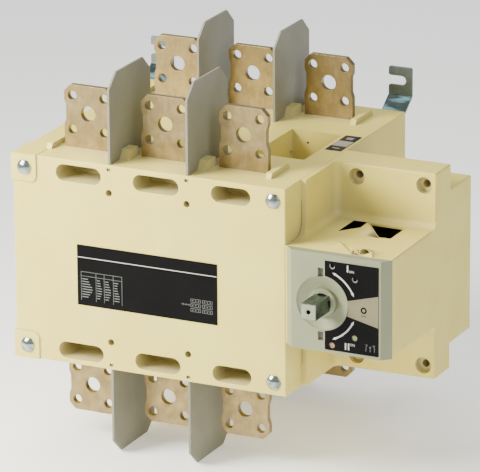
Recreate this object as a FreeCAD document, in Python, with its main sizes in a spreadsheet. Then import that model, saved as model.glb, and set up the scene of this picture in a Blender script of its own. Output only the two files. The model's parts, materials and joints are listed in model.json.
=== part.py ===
"""Manual transfer switch: two three-pole load-break switches, one behind the other, and a side mechanism.

Frame: +Z up, +X to the right, the front faces -Y.  The origin is the middle of the panel that the
four brackets are screwed to, level with the handle spindle and on the centre line of the middle pole.
Each switch module is built from its own front face backwards; "depth" always means the distance
behind that face.  Sizes are millimetres.
"""
import FreeCAD, Part
import math
import os

import Sketcher

doc = FreeCAD.newDocument("TransferSwitch")
dims = doc.addObject("Spreadsheet::Sheet", "dims")

DIMENSIONS = {
    # switch modules
    "body_width": 280.0,
    "body_height": 200.0,
    "cover_depth": 34.7,
    "front_depth": 90.0,
    "rear_depth": 83.0,
    "panel_offset": 291.5,
    "module_pitch": 187.0,
    "shell_wall": 4.0,
    "back_wall": 5.0,
    "pole_pitch": 80.0,
    "chamber_half": 35.0,
    "rim_height": 74.0,
    # openings in the covers
    "slot_left": -15.0,
    "slot_length": 47.0,
    "short_slot_length": 40.0,
    "slot_low": 79.0,
    "slot_width": 16.0,
    "slot_floor": 3.0,
    "pin_hole_radius": 3.25,
    "pin_hole_depth": 12.0,
    "pin_hole_height": 73.0,
    "pad_width": 26.0,
    "pad_height": 26.4,
    "pad_proud": 1.4,
    "pad_corner": 6.0,
    # terminals and contacts
    "terminal_width": 50.0,
    "terminal_thickness": 6.0,
    "terminal_reach": 160.5,
    "terminal_depth": 38.0,
    "terminal_corner": 6.5,
    "waist_depth": 1.8,
    "waist_half": 7.0,
    "waist_ramp": 5.0,
    "bolt_height": 133.7,
    "bolt_pitch": 33.0,
    "bolt_hole_radius": 4.5,
    "centre_hole_radius": 7.5,
    "tongue_offset": -17.5,
    "tongue_width": 14.0,
    "tongue_end": 34.0,
    "slide_gap": 0.1,
    "blade_thickness": 5.0,
    "blade_half_length": 46.0,
    "blade_bevel": 2.0,
    "carriage_gap": 7.0,
    "carriage_thickness": 16.0,
    "carriage_half": 13.0,
    "carriage_end": 1.0,
    "carriage_stop": 1.0,
    "cheek_width": 3.0,
    "cheek_half": 10.0,
    "cheek_reach": 4.0,
    "spring_thickness": 0.8,
    "spring_half": 20.0,
    "spring_foot": 4.0,
    "spring_crown": 6.0,
    "spring_width": 8.0,
    "arc_plate_thickness": 1.2,
    "arc_plate_pitch": 6.0,
    "arc_plate_left": -8.0,
    "arc_plate_low": 52.0,
    "arc_plate_front": 50.0,
    # barriers between the poles
    "barrier_thickness": 2.5,
    "barrier_reach": 185.5,
    "rear_low_barrier_rise": 3.0,
    "barrier_front": 1.5,
    "barrier_back_inset": 4.0,
    "barrier_seat": 8.0,
    "barrier_bevel_depth": 15.0,
    "barrier_bevel_height": 14.0,
    "clip_width": 9.0,
    "clip_height": 9.0,
    "clip_start": 20.0,
    "clip_end": 46.0,
    "clip_slope": 6.0,
    "end_rib_width": 5.5,
    "end_rib_height": 5.0,
    "end_rib_right_inset": 30.75,
    "end_rib_left_inset": 28.5,
    "end_rib_start": 23.0,
    "end_rib_end": 64.0,
    "end_rib_slope": 3.0,
    # cover screws
    "screw_inset": 12.5,
    "screw_head_radius": 7.8,
    "screw_head_height": 4.0,
    "screw_dome": 10.0,
    "screw_crown_drop": 0.2,
    "screw_shank_radius": 4.0,
    "screw_length": 62.0,
    "screw_clearance": 0.5,
    "thread_gap": 0.05,
    # spacer between the modules
    "spacer_wall": 4.5,
    "well_left": 65.0,
    "well_right": 117.0,
    "well_back": 86.0,
    "well_floor": 42.0,
    "well_wall": 3.0,
    "well_hole_radius": 1.3,
    "well_side_hole_radius": 2.0,
    # operating mechanism
    "mechanism_width": 105.5,
    "side_wall": 4.7,
    "side_wall_front": 34.7,
    "side_curve": 14.0,
    "flange_front": 100.0,
    "flange_back": 134.0,
    "flange_cavity": 72.0,
    "block_half": 47.0,
    "recess_fillet": 7.0,
    "tail_back": 182.3,
    "tail_half": 75.5,
    "column_size": 10.0,
    "fixing_left": 26.0,
    "fixing_right": 93.7,
    "fixing_counterbore": 8.0,
    "fixing_counterbore_depth": 7.0,
    "fixing_radius": 3.75,
    "sight_left": 42.0,
    "sight_right": 78.0,
    "sight_front": 57.0,
    "sight_back": 91.0,
    "sight_web": 27.0,
    "sight_lip": 0.8,
    "sight_undercut": 6.0,
    "tent_height": 3.6,
    "tent_apex_right": 1.2,
    "tent_apex_back": 5.0,
    "tent_front": 2.0,
    "tent_length": 27.0,
    "hood_front": 5.0,
    "hood_rise": 0.5,
    "hood_root": 2.0,
    "hood_right": 76.8,
    "hood_radius": 6.1,
    "hood_length": 14.0,
    "hood_bore": 5.2,
    "hood_bore_depth": 10.0,
    "stud_right": 66.5,
    "stud_radius": 3.7,
    "stud_length": 9.0,
    "stud_hole_right": 65.2,
    "stud_hole_radius": 1.1,
    "stud_hole_depth": 7.0,
    "fin_left": 73.5,
    "fin_right": 86.5,
    "fin_height": 4.3,
    "seam_gap": 0.6,
    "seam_depth": 2.5,
    "seam_top": 79.0,
    # front plate of the mechanism
    "plate_left": 1.5,
    "plate_right": 106.5,
    "plate_top": 47.0,
    "plate_bottom": -47.0,
    "plate_thickness": 8.0,
    "plate_bevel": 8.0,
    "dish_radius": 25.0,
    "dish_floor_radius": 15.0,
    "dish_depth": 4.5,
    "dish_rim_width": 1.3,
    "dish_rim_height": 0.6,
    "window_left": 36.0,
    "window_width": 5.4,
    "window_height": 8.6,
    "window_gap": 1.2,
    "window_depth": 6.0,
    "dial_drop": 1.5,
    "dial_left": 43.3,
    "dial_right": 96.5,
    "dial_half": 42.5,
    "dial_arc_gap": 1.6,
    "pilot_radius": 2.8,
    "pilot_near": 50.3,
    "pilot_far": 72.8,
    "pilot_near_height": 37.9,
    "pilot_far_height": 27.9,
    "film_thickness": 0.5,
    # labels
    "label_left": -74.0,
    "label_right": 70.7,
    "label_top": 19.0,
    "label_bottom": -40.0,
    "strip_inset": 3.0,
    "strip_width": 16.2,
    "strip_front": 128.0,
    "strip_back": 176.0,
    # spindle and drive
    "spindle_offset": 40.0,
    "spindle_square": 15.0,
    "spindle_reach": 37.0,
    "spindle_shoulder": 5.5,
    "spindle_radius": 9.0,
    "spindle_back": 178.0,
    "spindle_hole_radius": 2.0,
    "spindle_hole_depth": 14.0,
    "collar_radius": 13.2,
    "collar_height": 4.5,
    "collar_gap": 0.3,
    "running_gap": 0.05,
    "bush_radius": 12.0,
    "bush_length": 14.0,
    "bush_boss": 17.0,
    "gear_module": 2.0,
    "gear_teeth": 14.0,
    "pressure_angle": 25.0,
    "gear_backlash": 0.3,
    "root_clearance": 0.5,
    "gear_front": 104.5,
    "gear_back": 163.0,
    "rack_height": 12.0,
    "rack_width": 12.0,
    "front_rack_depth": 105.0,
    "rear_rack_depth": 150.0,
    "rack_reach": 34.0,
    "rack_gaps": 10.0,
    "arm_left": 68.0,
    "arm_width": 8.0,
    "travel_room": 23.0,
    "gear_pin_radius": 2.5,
    # mounting brackets
    "bracket_thickness": 2.5,
    "bracket_width": 24.5,
    "bracket_inner": 13.5,
    "bracket_top": 138.0,
    "bracket_bend": 110.5,
    "bracket_foot_bend": 97.0,
    "bracket_foot_end": 58.0,
    "bracket_slot_radius": 4.5,
    "bracket_slot_height": 124.5,
    "bracket_corner": 2.2,
    "mount_inset": 12.5,
    "foot_screw_row": 68.0,
    "foot_screw_radius": 3.0,
    "foot_screw_length": 18.0,
    "foot_head_radius": 6.0,
    "foot_head_height": 3.5,
}
ROWS = {"top": 1, "bottom": -1}
POLES = {"left": -1, "centre": 0, "right": 1}

for row, (alias, value) in enumerate(DIMENSIONS.items(), start=1):
    dims.set(f"A{row}", alias)
    dims.set(f"B{row}", str(value))
    dims.setAlias(f"B{row}", alias)
doc.recompute()

pieces = {}


class Module:
    """One three-pole switch: where its front face is and how deep it is, as expressions."""

    def __init__(self, name, face, depth):
        self.name = name
        self.face = face
        self.depth = depth

    def at(self, depth):
        """The Y expression of a plane that lies depth behind the module's front face."""
        return f"{self.face} + ({depth})"


FRONT_FACE = "-dims.panel_offset"
front = Module("front", FRONT_FACE, "dims.front_depth")
rear = Module("rear", f"{FRONT_FACE} + dims.module_pitch", "dims.rear_depth")

HALF_WIDTH = "dims.body_width / 2"
HALF_HEIGHT = "dims.body_height / 2"
BLADE_DEPTH = "dims.terminal_depth + dims.terminal_thickness"
CARRIAGE_DEPTH = f"{BLADE_DEPTH} + dims.blade_thickness + dims.carriage_gap"
CARRIAGE_BACK = f"{CARRIAGE_DEPTH} + dims.carriage_thickness"
PITCH_RADIUS = "dims.gear_module * dims.gear_teeth / 2"
CONTACT_TRAVEL = f"{PITCH_RADIUS} * {math.pi / 2:.9f}"
BLADE_CENTRE = f"dims.tongue_offset + {CONTACT_TRAVEL}"
CHEEK_REACH = "dims.tongue_width / 2 + dims.slide_gap + dims.cheek_width"
CARRIAGE_LEFT = f"-dims.pole_pitch + {BLADE_CENTRE} - ({CHEEK_REACH}) - dims.carriage_end"
CARRIAGE_RIGHT = f"dims.pole_pitch + {BLADE_CENTRE} + {CHEEK_REACH} + dims.carriage_end"
MECHANISM_RIGHT = f"{HALF_WIDTH} + dims.mechanism_width"
SPINDLE_COLUMN = f"({HALF_WIDTH} + dims.spindle_offset)"
SCREW_COLUMN = f"({HALF_WIDTH} - dims.screw_inset)"
SCREW_ROW = f"({HALF_HEIGHT} - dims.screw_inset)"
MOUNT_COLUMN = f"({HALF_WIDTH} - dims.mount_inset)"


def value(expression):
    """The number that an expression of the sheet gives now."""
    result = dims.evalExpression(expression.replace("dims.", ""))
    return float(getattr(result, "Value", result))


def keep(label, piece):
    """Name a finished sub-part; its label is also its file's name."""
    piece.Label = label
    pieces[label] = piece
    return piece


def box(name, x, y, z):
    """A block between a low and a high expression on each axis."""
    block = doc.addObject("Part::Box", name)
    for side, axis, (low, high) in zip(("Length", "Width", "Height"), "xyz", (x, y, z)):
        block.setExpression(side, f"({high}) - ({low})")
        block.setExpression(f"Placement.Base.{axis}", low)
    return block


def rod(name, axis, radius, across, low, high):
    """A round bar along an axis from low to high; across holds its other two coordinates in order."""
    bar = doc.addObject("Part::Cylinder", name)
    turns = {
        "x": FreeCAD.Rotation(FreeCAD.Vector(0, 1, 0), 90),
        "y": FreeCAD.Rotation(FreeCAD.Vector(1, 0, 0), -90),
        "z": FreeCAD.Rotation(),
    }
    bar.Placement = FreeCAD.Placement(FreeCAD.Vector(), turns[axis])
    others = [other for other in "xyz" if other != axis]
    for other, coordinate in zip(others, across):
        bar.setExpression(f"Placement.Base.{other}", coordinate)
    bar.setExpression(f"Placement.Base.{axis}", low)
    bar.setExpression("Radius", radius)
    bar.setExpression("Height", f"({high}) - ({low})")
    return bar


def fuse(name, parts):
    """One solid from several that meet or overlap."""
    joined = doc.addObject("Part::MultiFuse", name)
    joined.Shapes = parts
    joined.Refine = True
    return joined


def group(name, parts):
    """Separate solids that share one node."""
    together = doc.addObject("Part::Compound", name)
    together.Links = parts
    return together


def cut(name, base, tools):
    """The base with every tool taken out of it."""
    pocket = doc.addObject("Part::Cut", name)
    pocket.Base = base
    pocket.Tool = tools[0] if len(tools) == 1 else fuse(f"{name}_tools", tools)
    pocket.Refine = True
    return pocket


def origin_plane(body, role):
    """One of a body's own three origin planes."""
    for feature in body.Origin.OriginFeatures:
        if feature.Role == role:
            return feature
    raise RuntimeError(f"{body.Name} has no {role}")


def draw(body, role, outline, circles=()):
    """A sketch of one closed outline, and round holes in it, every point tied to the sheet."""
    sketch = body.newObject("Sketcher::SketchObject", f"{body.Name}_sketch")
    sketch.AttachmentSupport = [(origin_plane(body, role), "")]
    sketch.MapMode = "FlatFace"
    corners = [FreeCAD.Vector(value(across), value(up), 0) for across, up in outline]
    count = len(corners)
    for index, corner in enumerate(corners):
        sketch.addGeometry(Part.LineSegment(corner, corners[(index + 1) % count]), False)
    for index in range(count):
        sketch.addConstraint(Sketcher.Constraint("Coincident", index, 2, (index + 1) % count, 1))
    for index, place in enumerate(outline):
        tie(sketch, index, 1, place)
    for across, up, radius in circles:
        middle = FreeCAD.Vector(value(across), value(up), 0)
        ring = Part.Circle(middle, FreeCAD.Vector(0, 0, 1), value(radius))
        index = sketch.addGeometry(ring, False)
        tie(sketch, index, 3, (across, up))
        size = sketch.addConstraint(Sketcher.Constraint("Radius", index, value(radius)))
        sketch.setExpression(f"Constraints[{size}]", radius)
    return sketch


def tie(sketch, index, point, place):
    """Hold a point of a sketch at two expressions, measured from the sketch's origin."""
    for kind, expression in zip(("DistanceX", "DistanceY"), place):
        hold = Sketcher.Constraint(kind, -1, 1, index, point, value(expression))
        number = sketch.addConstraint(hold)
        sketch.setExpression(f"Constraints[{number}]", expression)


def plate(name, role, outline, thickness, place, circles=()):
    """A PartDesign body: an outline on an origin plane, padded, then set in its place."""
    body = doc.addObject("PartDesign::Body", name)
    sketch = draw(body, role, outline, circles)
    pad = body.newObject("PartDesign::Pad", f"{name}_pad")
    pad.Profile = sketch
    pad.setExpression("Length", thickness)
    for axis, expression in zip("xyz", place):
        body.setExpression(f"Placement.Base.{axis}", expression)
    return body


def fillet(name, base, radius, chosen):
    """Round the edges of a solid for which chosen(edge) is true."""
    doc.recompute()
    edges = [n for n, edge in enumerate(base.Shape.Edges, start=1) if chosen(edge)]
    if not edges:
        raise RuntimeError(f"{name} found no edge to round")
    rounded = doc.addObject("Part::Fillet", name)
    rounded.Base = base
    size = value(radius)
    rounded.Edges = [(edge, size, size) for edge in edges]
    return rounded


def lies_on(edge, **planes):
    """Whether a straight edge lies on every named plane, such as x=140."""
    low = edge.BoundBox
    spans = {"x": (low.XMin, low.XMax), "y": (low.YMin, low.YMax), "z": (low.ZMin, low.ZMax)}
    near = 1e-3
    return all(abs(end - place) < near for axis, place in planes.items() for end in spans[axis])


def pole_x(pole, offset="0"):
    """The X expression of a point beside a pole's centre line."""
    return f"{POLES[pole]} * dims.pole_pitch + ({offset})"


# ---------------------------------------------------------------- switch modules


def oblong(name, left, length, low, y):
    """A slot cutter with round ends that runs along X and cuts along Y."""
    radius = "dims.slot_width / 2"
    middle = f"{low} + {radius}"
    start = f"{left} + {radius}"
    end = f"{left} + {length} - {radius}"
    bar = box(f"{name}_bar", (start, end), y, (low, f"{low} + dims.slot_width"))
    ends = [
        rod(f"{name}_end_{n}", "y", radius, (x, middle), *y) for n, x in enumerate((start, end))
    ]
    return fuse(name, [bar, *ends])


def barrier_columns():
    """The name and X expression of the two planes between the poles."""
    return {"left": "-dims.pole_pitch / 2", "right": "dims.pole_pitch / 2"}


def barrier_grooves(module, tag, start, end):
    """Cutters for the four grooves that hold the barriers, from one depth to another."""
    half = "(dims.barrier_thickness / 2 + dims.slide_gap)"
    cutters = []
    for side, column in barrier_columns().items():
        for row, sign in ROWS.items():
            low, high = outward(sign, f"{HALF_HEIGHT} - dims.barrier_seat", f"{HALF_HEIGHT} + 1")
            name = f"{module.name}_{tag}_groove_{side}_{row}"
            x = (f"{column} - {half}", f"{column} + {half}")
            cutters.append(box(name, x, (module.at(start), module.at(end)), (low, high)))
    return cutters


def outward(sign, near, far):
    """The low and high of a span from near to far, on the upper or the lower side."""
    return (near, far) if sign > 0 else (f"-({far})", f"-({near})")


def wedge_rib(name, module, left, width, span, height, slope, sign):
    """A rib on a module's top or bottom with sloping ends, running back over a span of depths."""
    start, end = span
    foot = f"{HALF_HEIGHT} - 1"
    top = f"{HALF_HEIGHT} + {height}"
    outline = [
        (start, foot),
        (start, HALF_HEIGHT),
        (f"{start} + {slope}", top),
        (f"{end} - {slope}", top),
        (end, HALF_HEIGHT),
        (end, foot),
    ]
    outline = [(depth, f"{sign} * ({up})") for depth, up in outline]
    return plate(name, "YZ_Plane", outline, width, (left, module.face, "0"))


def surface_ribs(module):
    """The wedge beside each barrier and the low rib at each end of the base moulding."""
    ribs = []
    clip_span = ("dims.clip_start", "dims.clip_end")
    end_span = ("dims.end_rib_start", "dims.end_rib_end")
    end_columns = {
        "left": f"-{HALF_WIDTH} + dims.end_rib_left_inset - dims.end_rib_width",
        "right": f"{HALF_WIDTH} - dims.end_rib_right_inset",
    }
    for row, sign in ROWS.items():
        for side, column in barrier_columns().items():
            left = f"{column} + dims.barrier_thickness / 2 + dims.slide_gap"
            name = f"{module.name}_clip_{side}_{row}"
            size = ("dims.clip_width", clip_span, "dims.clip_height", "dims.clip_slope")
            ribs.append(wedge_rib(name, module, left, *size, sign))
        for side, left in end_columns.items():
            name = f"{module.name}_end_rib_{side}_{row}"
            size = ("dims.end_rib_width", end_span, "dims.end_rib_height", "dims.end_rib_slope")
            ribs.append(wedge_rib(name, module, left, *size, sign))
    return ribs


def module_half(module, tag, start, end):
    """The ribs of a module that lie between two depths, so that each moulding carries its share."""
    tall = f"{HALF_HEIGHT} + dims.clip_height + 1"
    y = (module.at(start), module.at(end))
    slab = box(f"{module.name}_{tag}_slab", (f"-{HALF_WIDTH}", HALF_WIDTH), y, (f"-({tall})", tall))
    share = doc.addObject("Part::Common", f"{module.name}_{tag}_ribs")
    share.Base = fuse(f"{module.name}_{tag}_all_ribs", surface_ribs(module))
    share.Tool = slab
    return share


def chambers(module, tag, start, end):
    """Cutters for the three pole chambers, from one depth to another."""
    cutters = []
    for pole in POLES:
        x = (pole_x(pole, "-dims.chamber_half"), pole_x(pole, "dims.chamber_half"))
        y = (module.at(start), module.at(end))
        cutters.append(box(f"{module.name}_{tag}_{pole}", x, y, ("-dims.rim_height", "dims.rim_height")))
    return cutters


def screw_places():
    """The X and Z expressions of the four cover screws."""
    return [(f"{sx} * {SCREW_COLUMN}", f"{sz} * {SCREW_ROW}") for sx in (-1, 1) for sz in (-1, 1)]


def drive_window(name, sign, y):
    """A cutter for the window that a drive arm slides in."""
    x = ("dims.arm_left - dims.travel_room", "dims.arm_left + dims.arm_width + dims.travel_room")
    top = f"{PITCH_RADIUS} - dims.gear_module + dims.rack_height + 1"
    low, high = outward(sign, "-1", top)
    return box(name, x, y, (low, high))


def switch_cover(module):
    """The front moulding: a shell over the pole chambers, with vent slots and corner pads."""
    name = f"{module.name}_cover"
    depth = "dims.cover_depth"
    outer_y = (module.at("0"), module.at(depth))
    body = box(f"{name}_block", (f"-{HALF_WIDTH}", HALF_WIDTH), outer_y, (f"-{HALF_HEIGHT}", HALF_HEIGHT))
    pads = []
    for row, sign in ROWS.items():
        reach = f"{HALF_HEIGHT} + 0.4"
        low, high = outward(sign, f"{reach} - dims.pad_height", reach)
        left = f"-{HALF_WIDTH} - dims.pad_proud"
        proud = "dims.pad_proud" if module is front else "0"
        y = (module.at(f"-{proud}"), module.at(depth))
        pad = box(f"{name}_pad_{row}", (left, f"{left} + dims.pad_width"), y, (low, high))
        inner_x = value(f"{left} + dims.pad_width")
        inner_z = value(low if sign > 0 else high)
        rounded = fillet(
            f"{name}_pad_round_{row}", pad, "dims.pad_corner", lambda e: lies_on(e, x=inner_x, z=inner_z)
        )
        pads.append(rounded)
    solid = fuse(f"{name}_solid", [body, *pads, module_half(module, "cover", "0", depth)])
    through = (module.at("-5"), module.at(f"{depth} + 1"))
    cutters = chambers(module, "cover_chamber", "dims.shell_wall", f"{depth} + 1")
    for pole in POLES:
        length = "dims.short_slot_length" if pole == "right" else "dims.slot_length"
        for row, sign in ROWS.items():
            low = "dims.slot_low" if sign > 0 else "-dims.slot_low - dims.slot_width"
            left = pole_x(pole, "dims.slot_left")
            pocket = (module.at("-5"), module.at(f"{depth} - dims.slot_floor"))
            cutters.append(oblong(f"{name}_slot_{pole}_{row}", left, length, low, pocket))
    for x, z in screw_places():
        radius = "dims.screw_shank_radius + dims.screw_clearance"
        cutters.append(rod(f"{name}_screw_hole", "y", radius, (x, z), *through))
    for side, column in barrier_columns().items():
        for sign in ROWS.values():
            z = f"{sign} * dims.pin_hole_height"
            y = (module.at("-1"), module.at("dims.pin_hole_depth"))
            cutters.append(rod(f"{name}_pin_hole", "y", "dims.pin_hole_radius", (column, z), *y))
            low, high = outward(sign, f"{HALF_HEIGHT} - 6", f"{HALF_HEIGHT} - 3")
            notch_x = (f"{column} - 2", f"{column} + 2")
            cutters.append(box(f"{name}_notch", notch_x, (module.at("-1"), module.at("3")), (low, high)))
    cutters += barrier_grooves(module, "cover", "dims.barrier_front - dims.slide_gap", f"{depth} + 1")
    if module is rear:
        cutters.append(
            drive_window(f"{name}_window", -1, (module.at("-1"), module.at("dims.shell_wall + 1")))
        )
    return keep(f"{module.name}_switch_cover", cut(name, solid, cutters))


def switch_base(module):
    """The pole moulding behind the cover: three chambers, terminal slots and the carriage channel."""
    name = f"{module.name}_base"
    outer_y = (module.at("dims.cover_depth"), module.at(module.depth))
    body = box(f"{name}_block", (f"-{HALF_WIDTH}", HALF_WIDTH), outer_y, (f"-{HALF_HEIGHT}", HALF_HEIGHT))
    solid = fuse(f"{name}_solid", [body, module_half(module, "base", "dims.cover_depth", module.depth)])
    cutters = chambers(module, "base_chamber", "dims.cover_depth - 1", f"{module.depth} - dims.back_wall")
    for pole in POLES:
        for row, sign in ROWS.items():
            half = "(dims.terminal_width / 2 + dims.slide_gap)"
            low, high = outward(sign, "dims.rim_height - 1", f"{HALF_HEIGHT} + 1")
            x = (pole_x(pole, f"-{half}"), pole_x(pole, half))
            y = (module.at("dims.terminal_depth"), module.at(BLADE_DEPTH))
            cutters.append(box(f"{name}_terminal_{pole}_{row}", x, y, (low, high)))
    channel_left = f"{CARRIAGE_LEFT} - {CONTACT_TRAVEL} - dims.carriage_stop"
    channel_right = f"{CARRIAGE_RIGHT} + {CONTACT_TRAVEL} + dims.carriage_stop"
    channel_half = "(dims.carriage_half + 0.5)"
    channel_y = (module.at(BLADE_DEPTH), module.at(f"{CARRIAGE_BACK} + 1"))
    channel = (channel_left, channel_right)
    cutters.append(box(f"{name}_channel", channel, channel_y, (f"-{channel_half}", channel_half)))
    if module is front:
        window_y = (module.at(f"{module.depth} - dims.back_wall - 1"), module.at(f"{module.depth} + 1"))
        cutters.append(drive_window(f"{name}_window", 1, window_y))
    for x, z in screw_places():
        radius = "dims.screw_shank_radius + dims.thread_gap"
        y = (module.at("dims.cover_depth - 1"), module.at("dims.screw_length + 1"))
        cutters.append(rod(f"{name}_screw_hole", "y", radius, (x, z), *y))
    cutters += barrier_grooves(
        module, "base", "dims.cover_depth - 1", f"{module.depth} - dims.barrier_back_inset + dims.slide_gap"
    )
    if module is rear:
        for x, z in foot_screw_places():
            radius = "dims.foot_screw_radius + dims.thread_gap"
            y = (module.at(f"{module.depth} - dims.foot_screw_length"), module.at(f"{module.depth} + 1"))
            cutters.append(rod(f"{name}_foot_hole", "y", radius, (x, z), *y))
    return keep(f"{module.name}_switch_base", cut(name, solid, cutters))


def terminal(module, pole, row):
    """A flat bar with a bolted pad outside, a narrow waist and a contact tongue inside."""
    sign = ROWS[row]
    half = "dims.terminal_width / 2"
    waist = f"{half} - dims.waist_depth"
    waist_low = "dims.bolt_height - dims.waist_half"
    waist_high = "dims.bolt_height + dims.waist_half"
    tongue_left = "dims.tongue_offset - dims.tongue_width / 2"
    tongue_right = "dims.tongue_offset + dims.tongue_width / 2"
    right_side = [
        (half, "dims.rim_height"),
        (half, f"{waist_low} - dims.waist_ramp"),
        (waist, waist_low),
        (waist, waist_high),
        (half, f"{waist_high} + dims.waist_ramp"),
        (half, "dims.terminal_reach - dims.terminal_corner"),
        (f"{half} - dims.terminal_corner", "dims.terminal_reach"),
    ]
    left_side = [(f"-({across})", up) for across, up in reversed(right_side)]
    tongue = [
        (tongue_left, "dims.rim_height"),
        (tongue_left, "dims.tongue_end"),
        (tongue_right, "dims.tongue_end"),
        (tongue_right, "dims.rim_height"),
    ]
    outline = [(across, f"{sign} * ({up})") for across, up in right_side + left_side + tongue]
    holes = [("0", f"{sign} * dims.bolt_height", "dims.centre_hole_radius")]
    for side in (-1, 1):
        for end in (-1, 1):
            up = f"{sign} * (dims.bolt_height + {end} * dims.bolt_pitch / 2)"
            holes.append((f"{side} * dims.bolt_pitch / 2", up, "dims.bolt_hole_radius"))
    place = (pole_x(pole), module.at(BLADE_DEPTH), "0")
    name = f"{module.name}_terminal_{row}_{pole}"
    keep(name, plate(f"{name}_body", "XZ_Plane", outline, "dims.terminal_thickness", place, holes))


def barrier(module, side, row):
    """A flat insulating sheet between two poles, with both outer corners cut off."""
    sign = ROWS[row]
    start = "dims.barrier_front"
    end = f"{module.depth} - dims.barrier_back_inset"
    foot = f"{HALF_HEIGHT} - dims.barrier_seat"
    reach = "dims.barrier_reach"
    if (module, row) == (rear, "bottom"):
        reach = "(dims.barrier_reach - dims.rear_low_barrier_rise)"
    shoulder = f"{reach} - dims.barrier_bevel_height"
    outline = [
        (start, foot),
        (start, shoulder),
        (f"{start} + dims.barrier_bevel_depth", reach),
        (f"{end} - dims.barrier_bevel_depth", reach),
        (end, shoulder),
        (end, foot),
    ]
    outline = [(depth, f"{sign} * ({up})") for depth, up in outline]
    place = (f"{barrier_columns()[side]} - dims.barrier_thickness / 2", module.face, "0")
    name = f"{module.name}_barrier_{row}_{side}"
    keep(name, plate(f"{name}_body", "YZ_Plane", outline, "dims.barrier_thickness", place))


def contact_blade(module, pole):
    """The sliding bar that bridges a pole's two tongues."""
    reach = "dims.blade_half_length"
    inner = f"{reach} - dims.blade_bevel"
    lift = "dims.blade_thickness - dims.blade_bevel"
    half = [("0", reach), (lift, reach), ("dims.blade_thickness", inner)]
    outline = [(depth, f"-({up})") for depth, up in reversed(half)] + half
    left = pole_x(pole, f"{BLADE_CENTRE} - dims.tongue_width / 2")
    place = (left, module.at(BLADE_DEPTH), "0")
    name = f"{module.name}_contact_blade_{pole}"
    keep(name, plate(f"{name}_body", "YZ_Plane", outline, "dims.tongue_width", place))


def contact_springs(module):
    """Three bowed leaf springs that press the blades forward from the carriage."""
    rise = "dims.carriage_gap"
    thin = "dims.spring_thickness"
    foot_in = "dims.spring_half - dims.spring_foot"
    outer = [("0", "dims.spring_half"), ("0", foot_in), (f"{rise} - {thin}", "dims.spring_crown")]
    inner = [(rise, "dims.spring_crown"), (thin, foot_in), (thin, "dims.spring_half")]
    outline = outer + [(depth, f"-({up})") for depth, up in reversed(outer)]
    outline += [(depth, f"-({up})") for depth, up in reversed(inner)] + inner
    springs = []
    for pole in POLES:
        left = pole_x(pole, f"{BLADE_CENTRE} - dims.spring_width / 2")
        place = (left, module.at(f"{BLADE_DEPTH} + dims.blade_thickness"), "0")
        name = f"{module.name}_spring_{pole}"
        springs.append(plate(name, "YZ_Plane", outline, "dims.spring_width", place))
    keep(f"{module.name}_contact_springs", group(f"{module.name}_springs", springs))


def contact_carriage(module, sign):
    """The moulded bar that carries the three blades, with cheeks beside each and the drive arm."""
    name = f"{module.name}_carriage"
    y = (module.at(CARRIAGE_DEPTH), module.at(CARRIAGE_BACK))
    z = ("-dims.carriage_half", "dims.carriage_half")
    parts = [box(f"{name}_bar", (CARRIAGE_LEFT, CARRIAGE_RIGHT), y, z)]
    cheek_z = ("-dims.cheek_half", "dims.cheek_half")
    cheek_y = (
        module.at(f"{CARRIAGE_DEPTH} - dims.carriage_gap - dims.cheek_reach"), module.at(CARRIAGE_DEPTH)
    )
    for pole in POLES:
        near = "(dims.tongue_width / 2 + dims.slide_gap)"
        far = f"({near} + dims.cheek_width)"
        centre = pole_x(pole, BLADE_CENTRE)
        for side, span in {"left": (f"-{far}", f"-{near}"), "right": (near, far)}.items():
            x = tuple(f"{centre} + {end}" for end in span)
            parts.append(box(f"{name}_cheek_{pole}_{side}", x, cheek_y, cheek_z))
    top = f"{PITCH_RADIUS} - dims.gear_module + dims.rack_height"
    arm_z = outward(sign, "0", top)
    if sign > 0:
        arm_y = (module.at(CARRIAGE_DEPTH), f"{FRONT_FACE} + dims.front_rack_depth")
    else:
        arm_y = (f"{FRONT_FACE} + dims.rear_rack_depth + dims.rack_width", module.at(CARRIAGE_BACK))
    parts.append(box(f"{name}_arm", ("dims.arm_left", "dims.arm_left + dims.arm_width"), arm_y, arm_z))
    keep(f"{module.name}_contact_carriage", fuse(name, parts))


def arc_plates(module):
    """Steel splitter plates in both ends of each chamber, square to the blade's travel."""
    count = 7
    plates = []
    for pole in POLES:
        for row, sign in ROWS.items():
            for number in range(count):
                left = pole_x(pole, f"dims.arc_plate_left + {number} * dims.arc_plate_pitch")
                x = (left, f"{left} + dims.arc_plate_thickness")
                y = (module.at("dims.arc_plate_front"), module.at(f"{module.depth} - dims.back_wall"))
                z = outward(sign, "dims.arc_plate_low", "dims.rim_height")
                plates.append(box(f"{module.name}_arc_{pole}_{row}_{number}", x, y, z))
    keep(f"{module.name}_arc_plates", group(f"{module.name}_arcs", plates))


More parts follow.
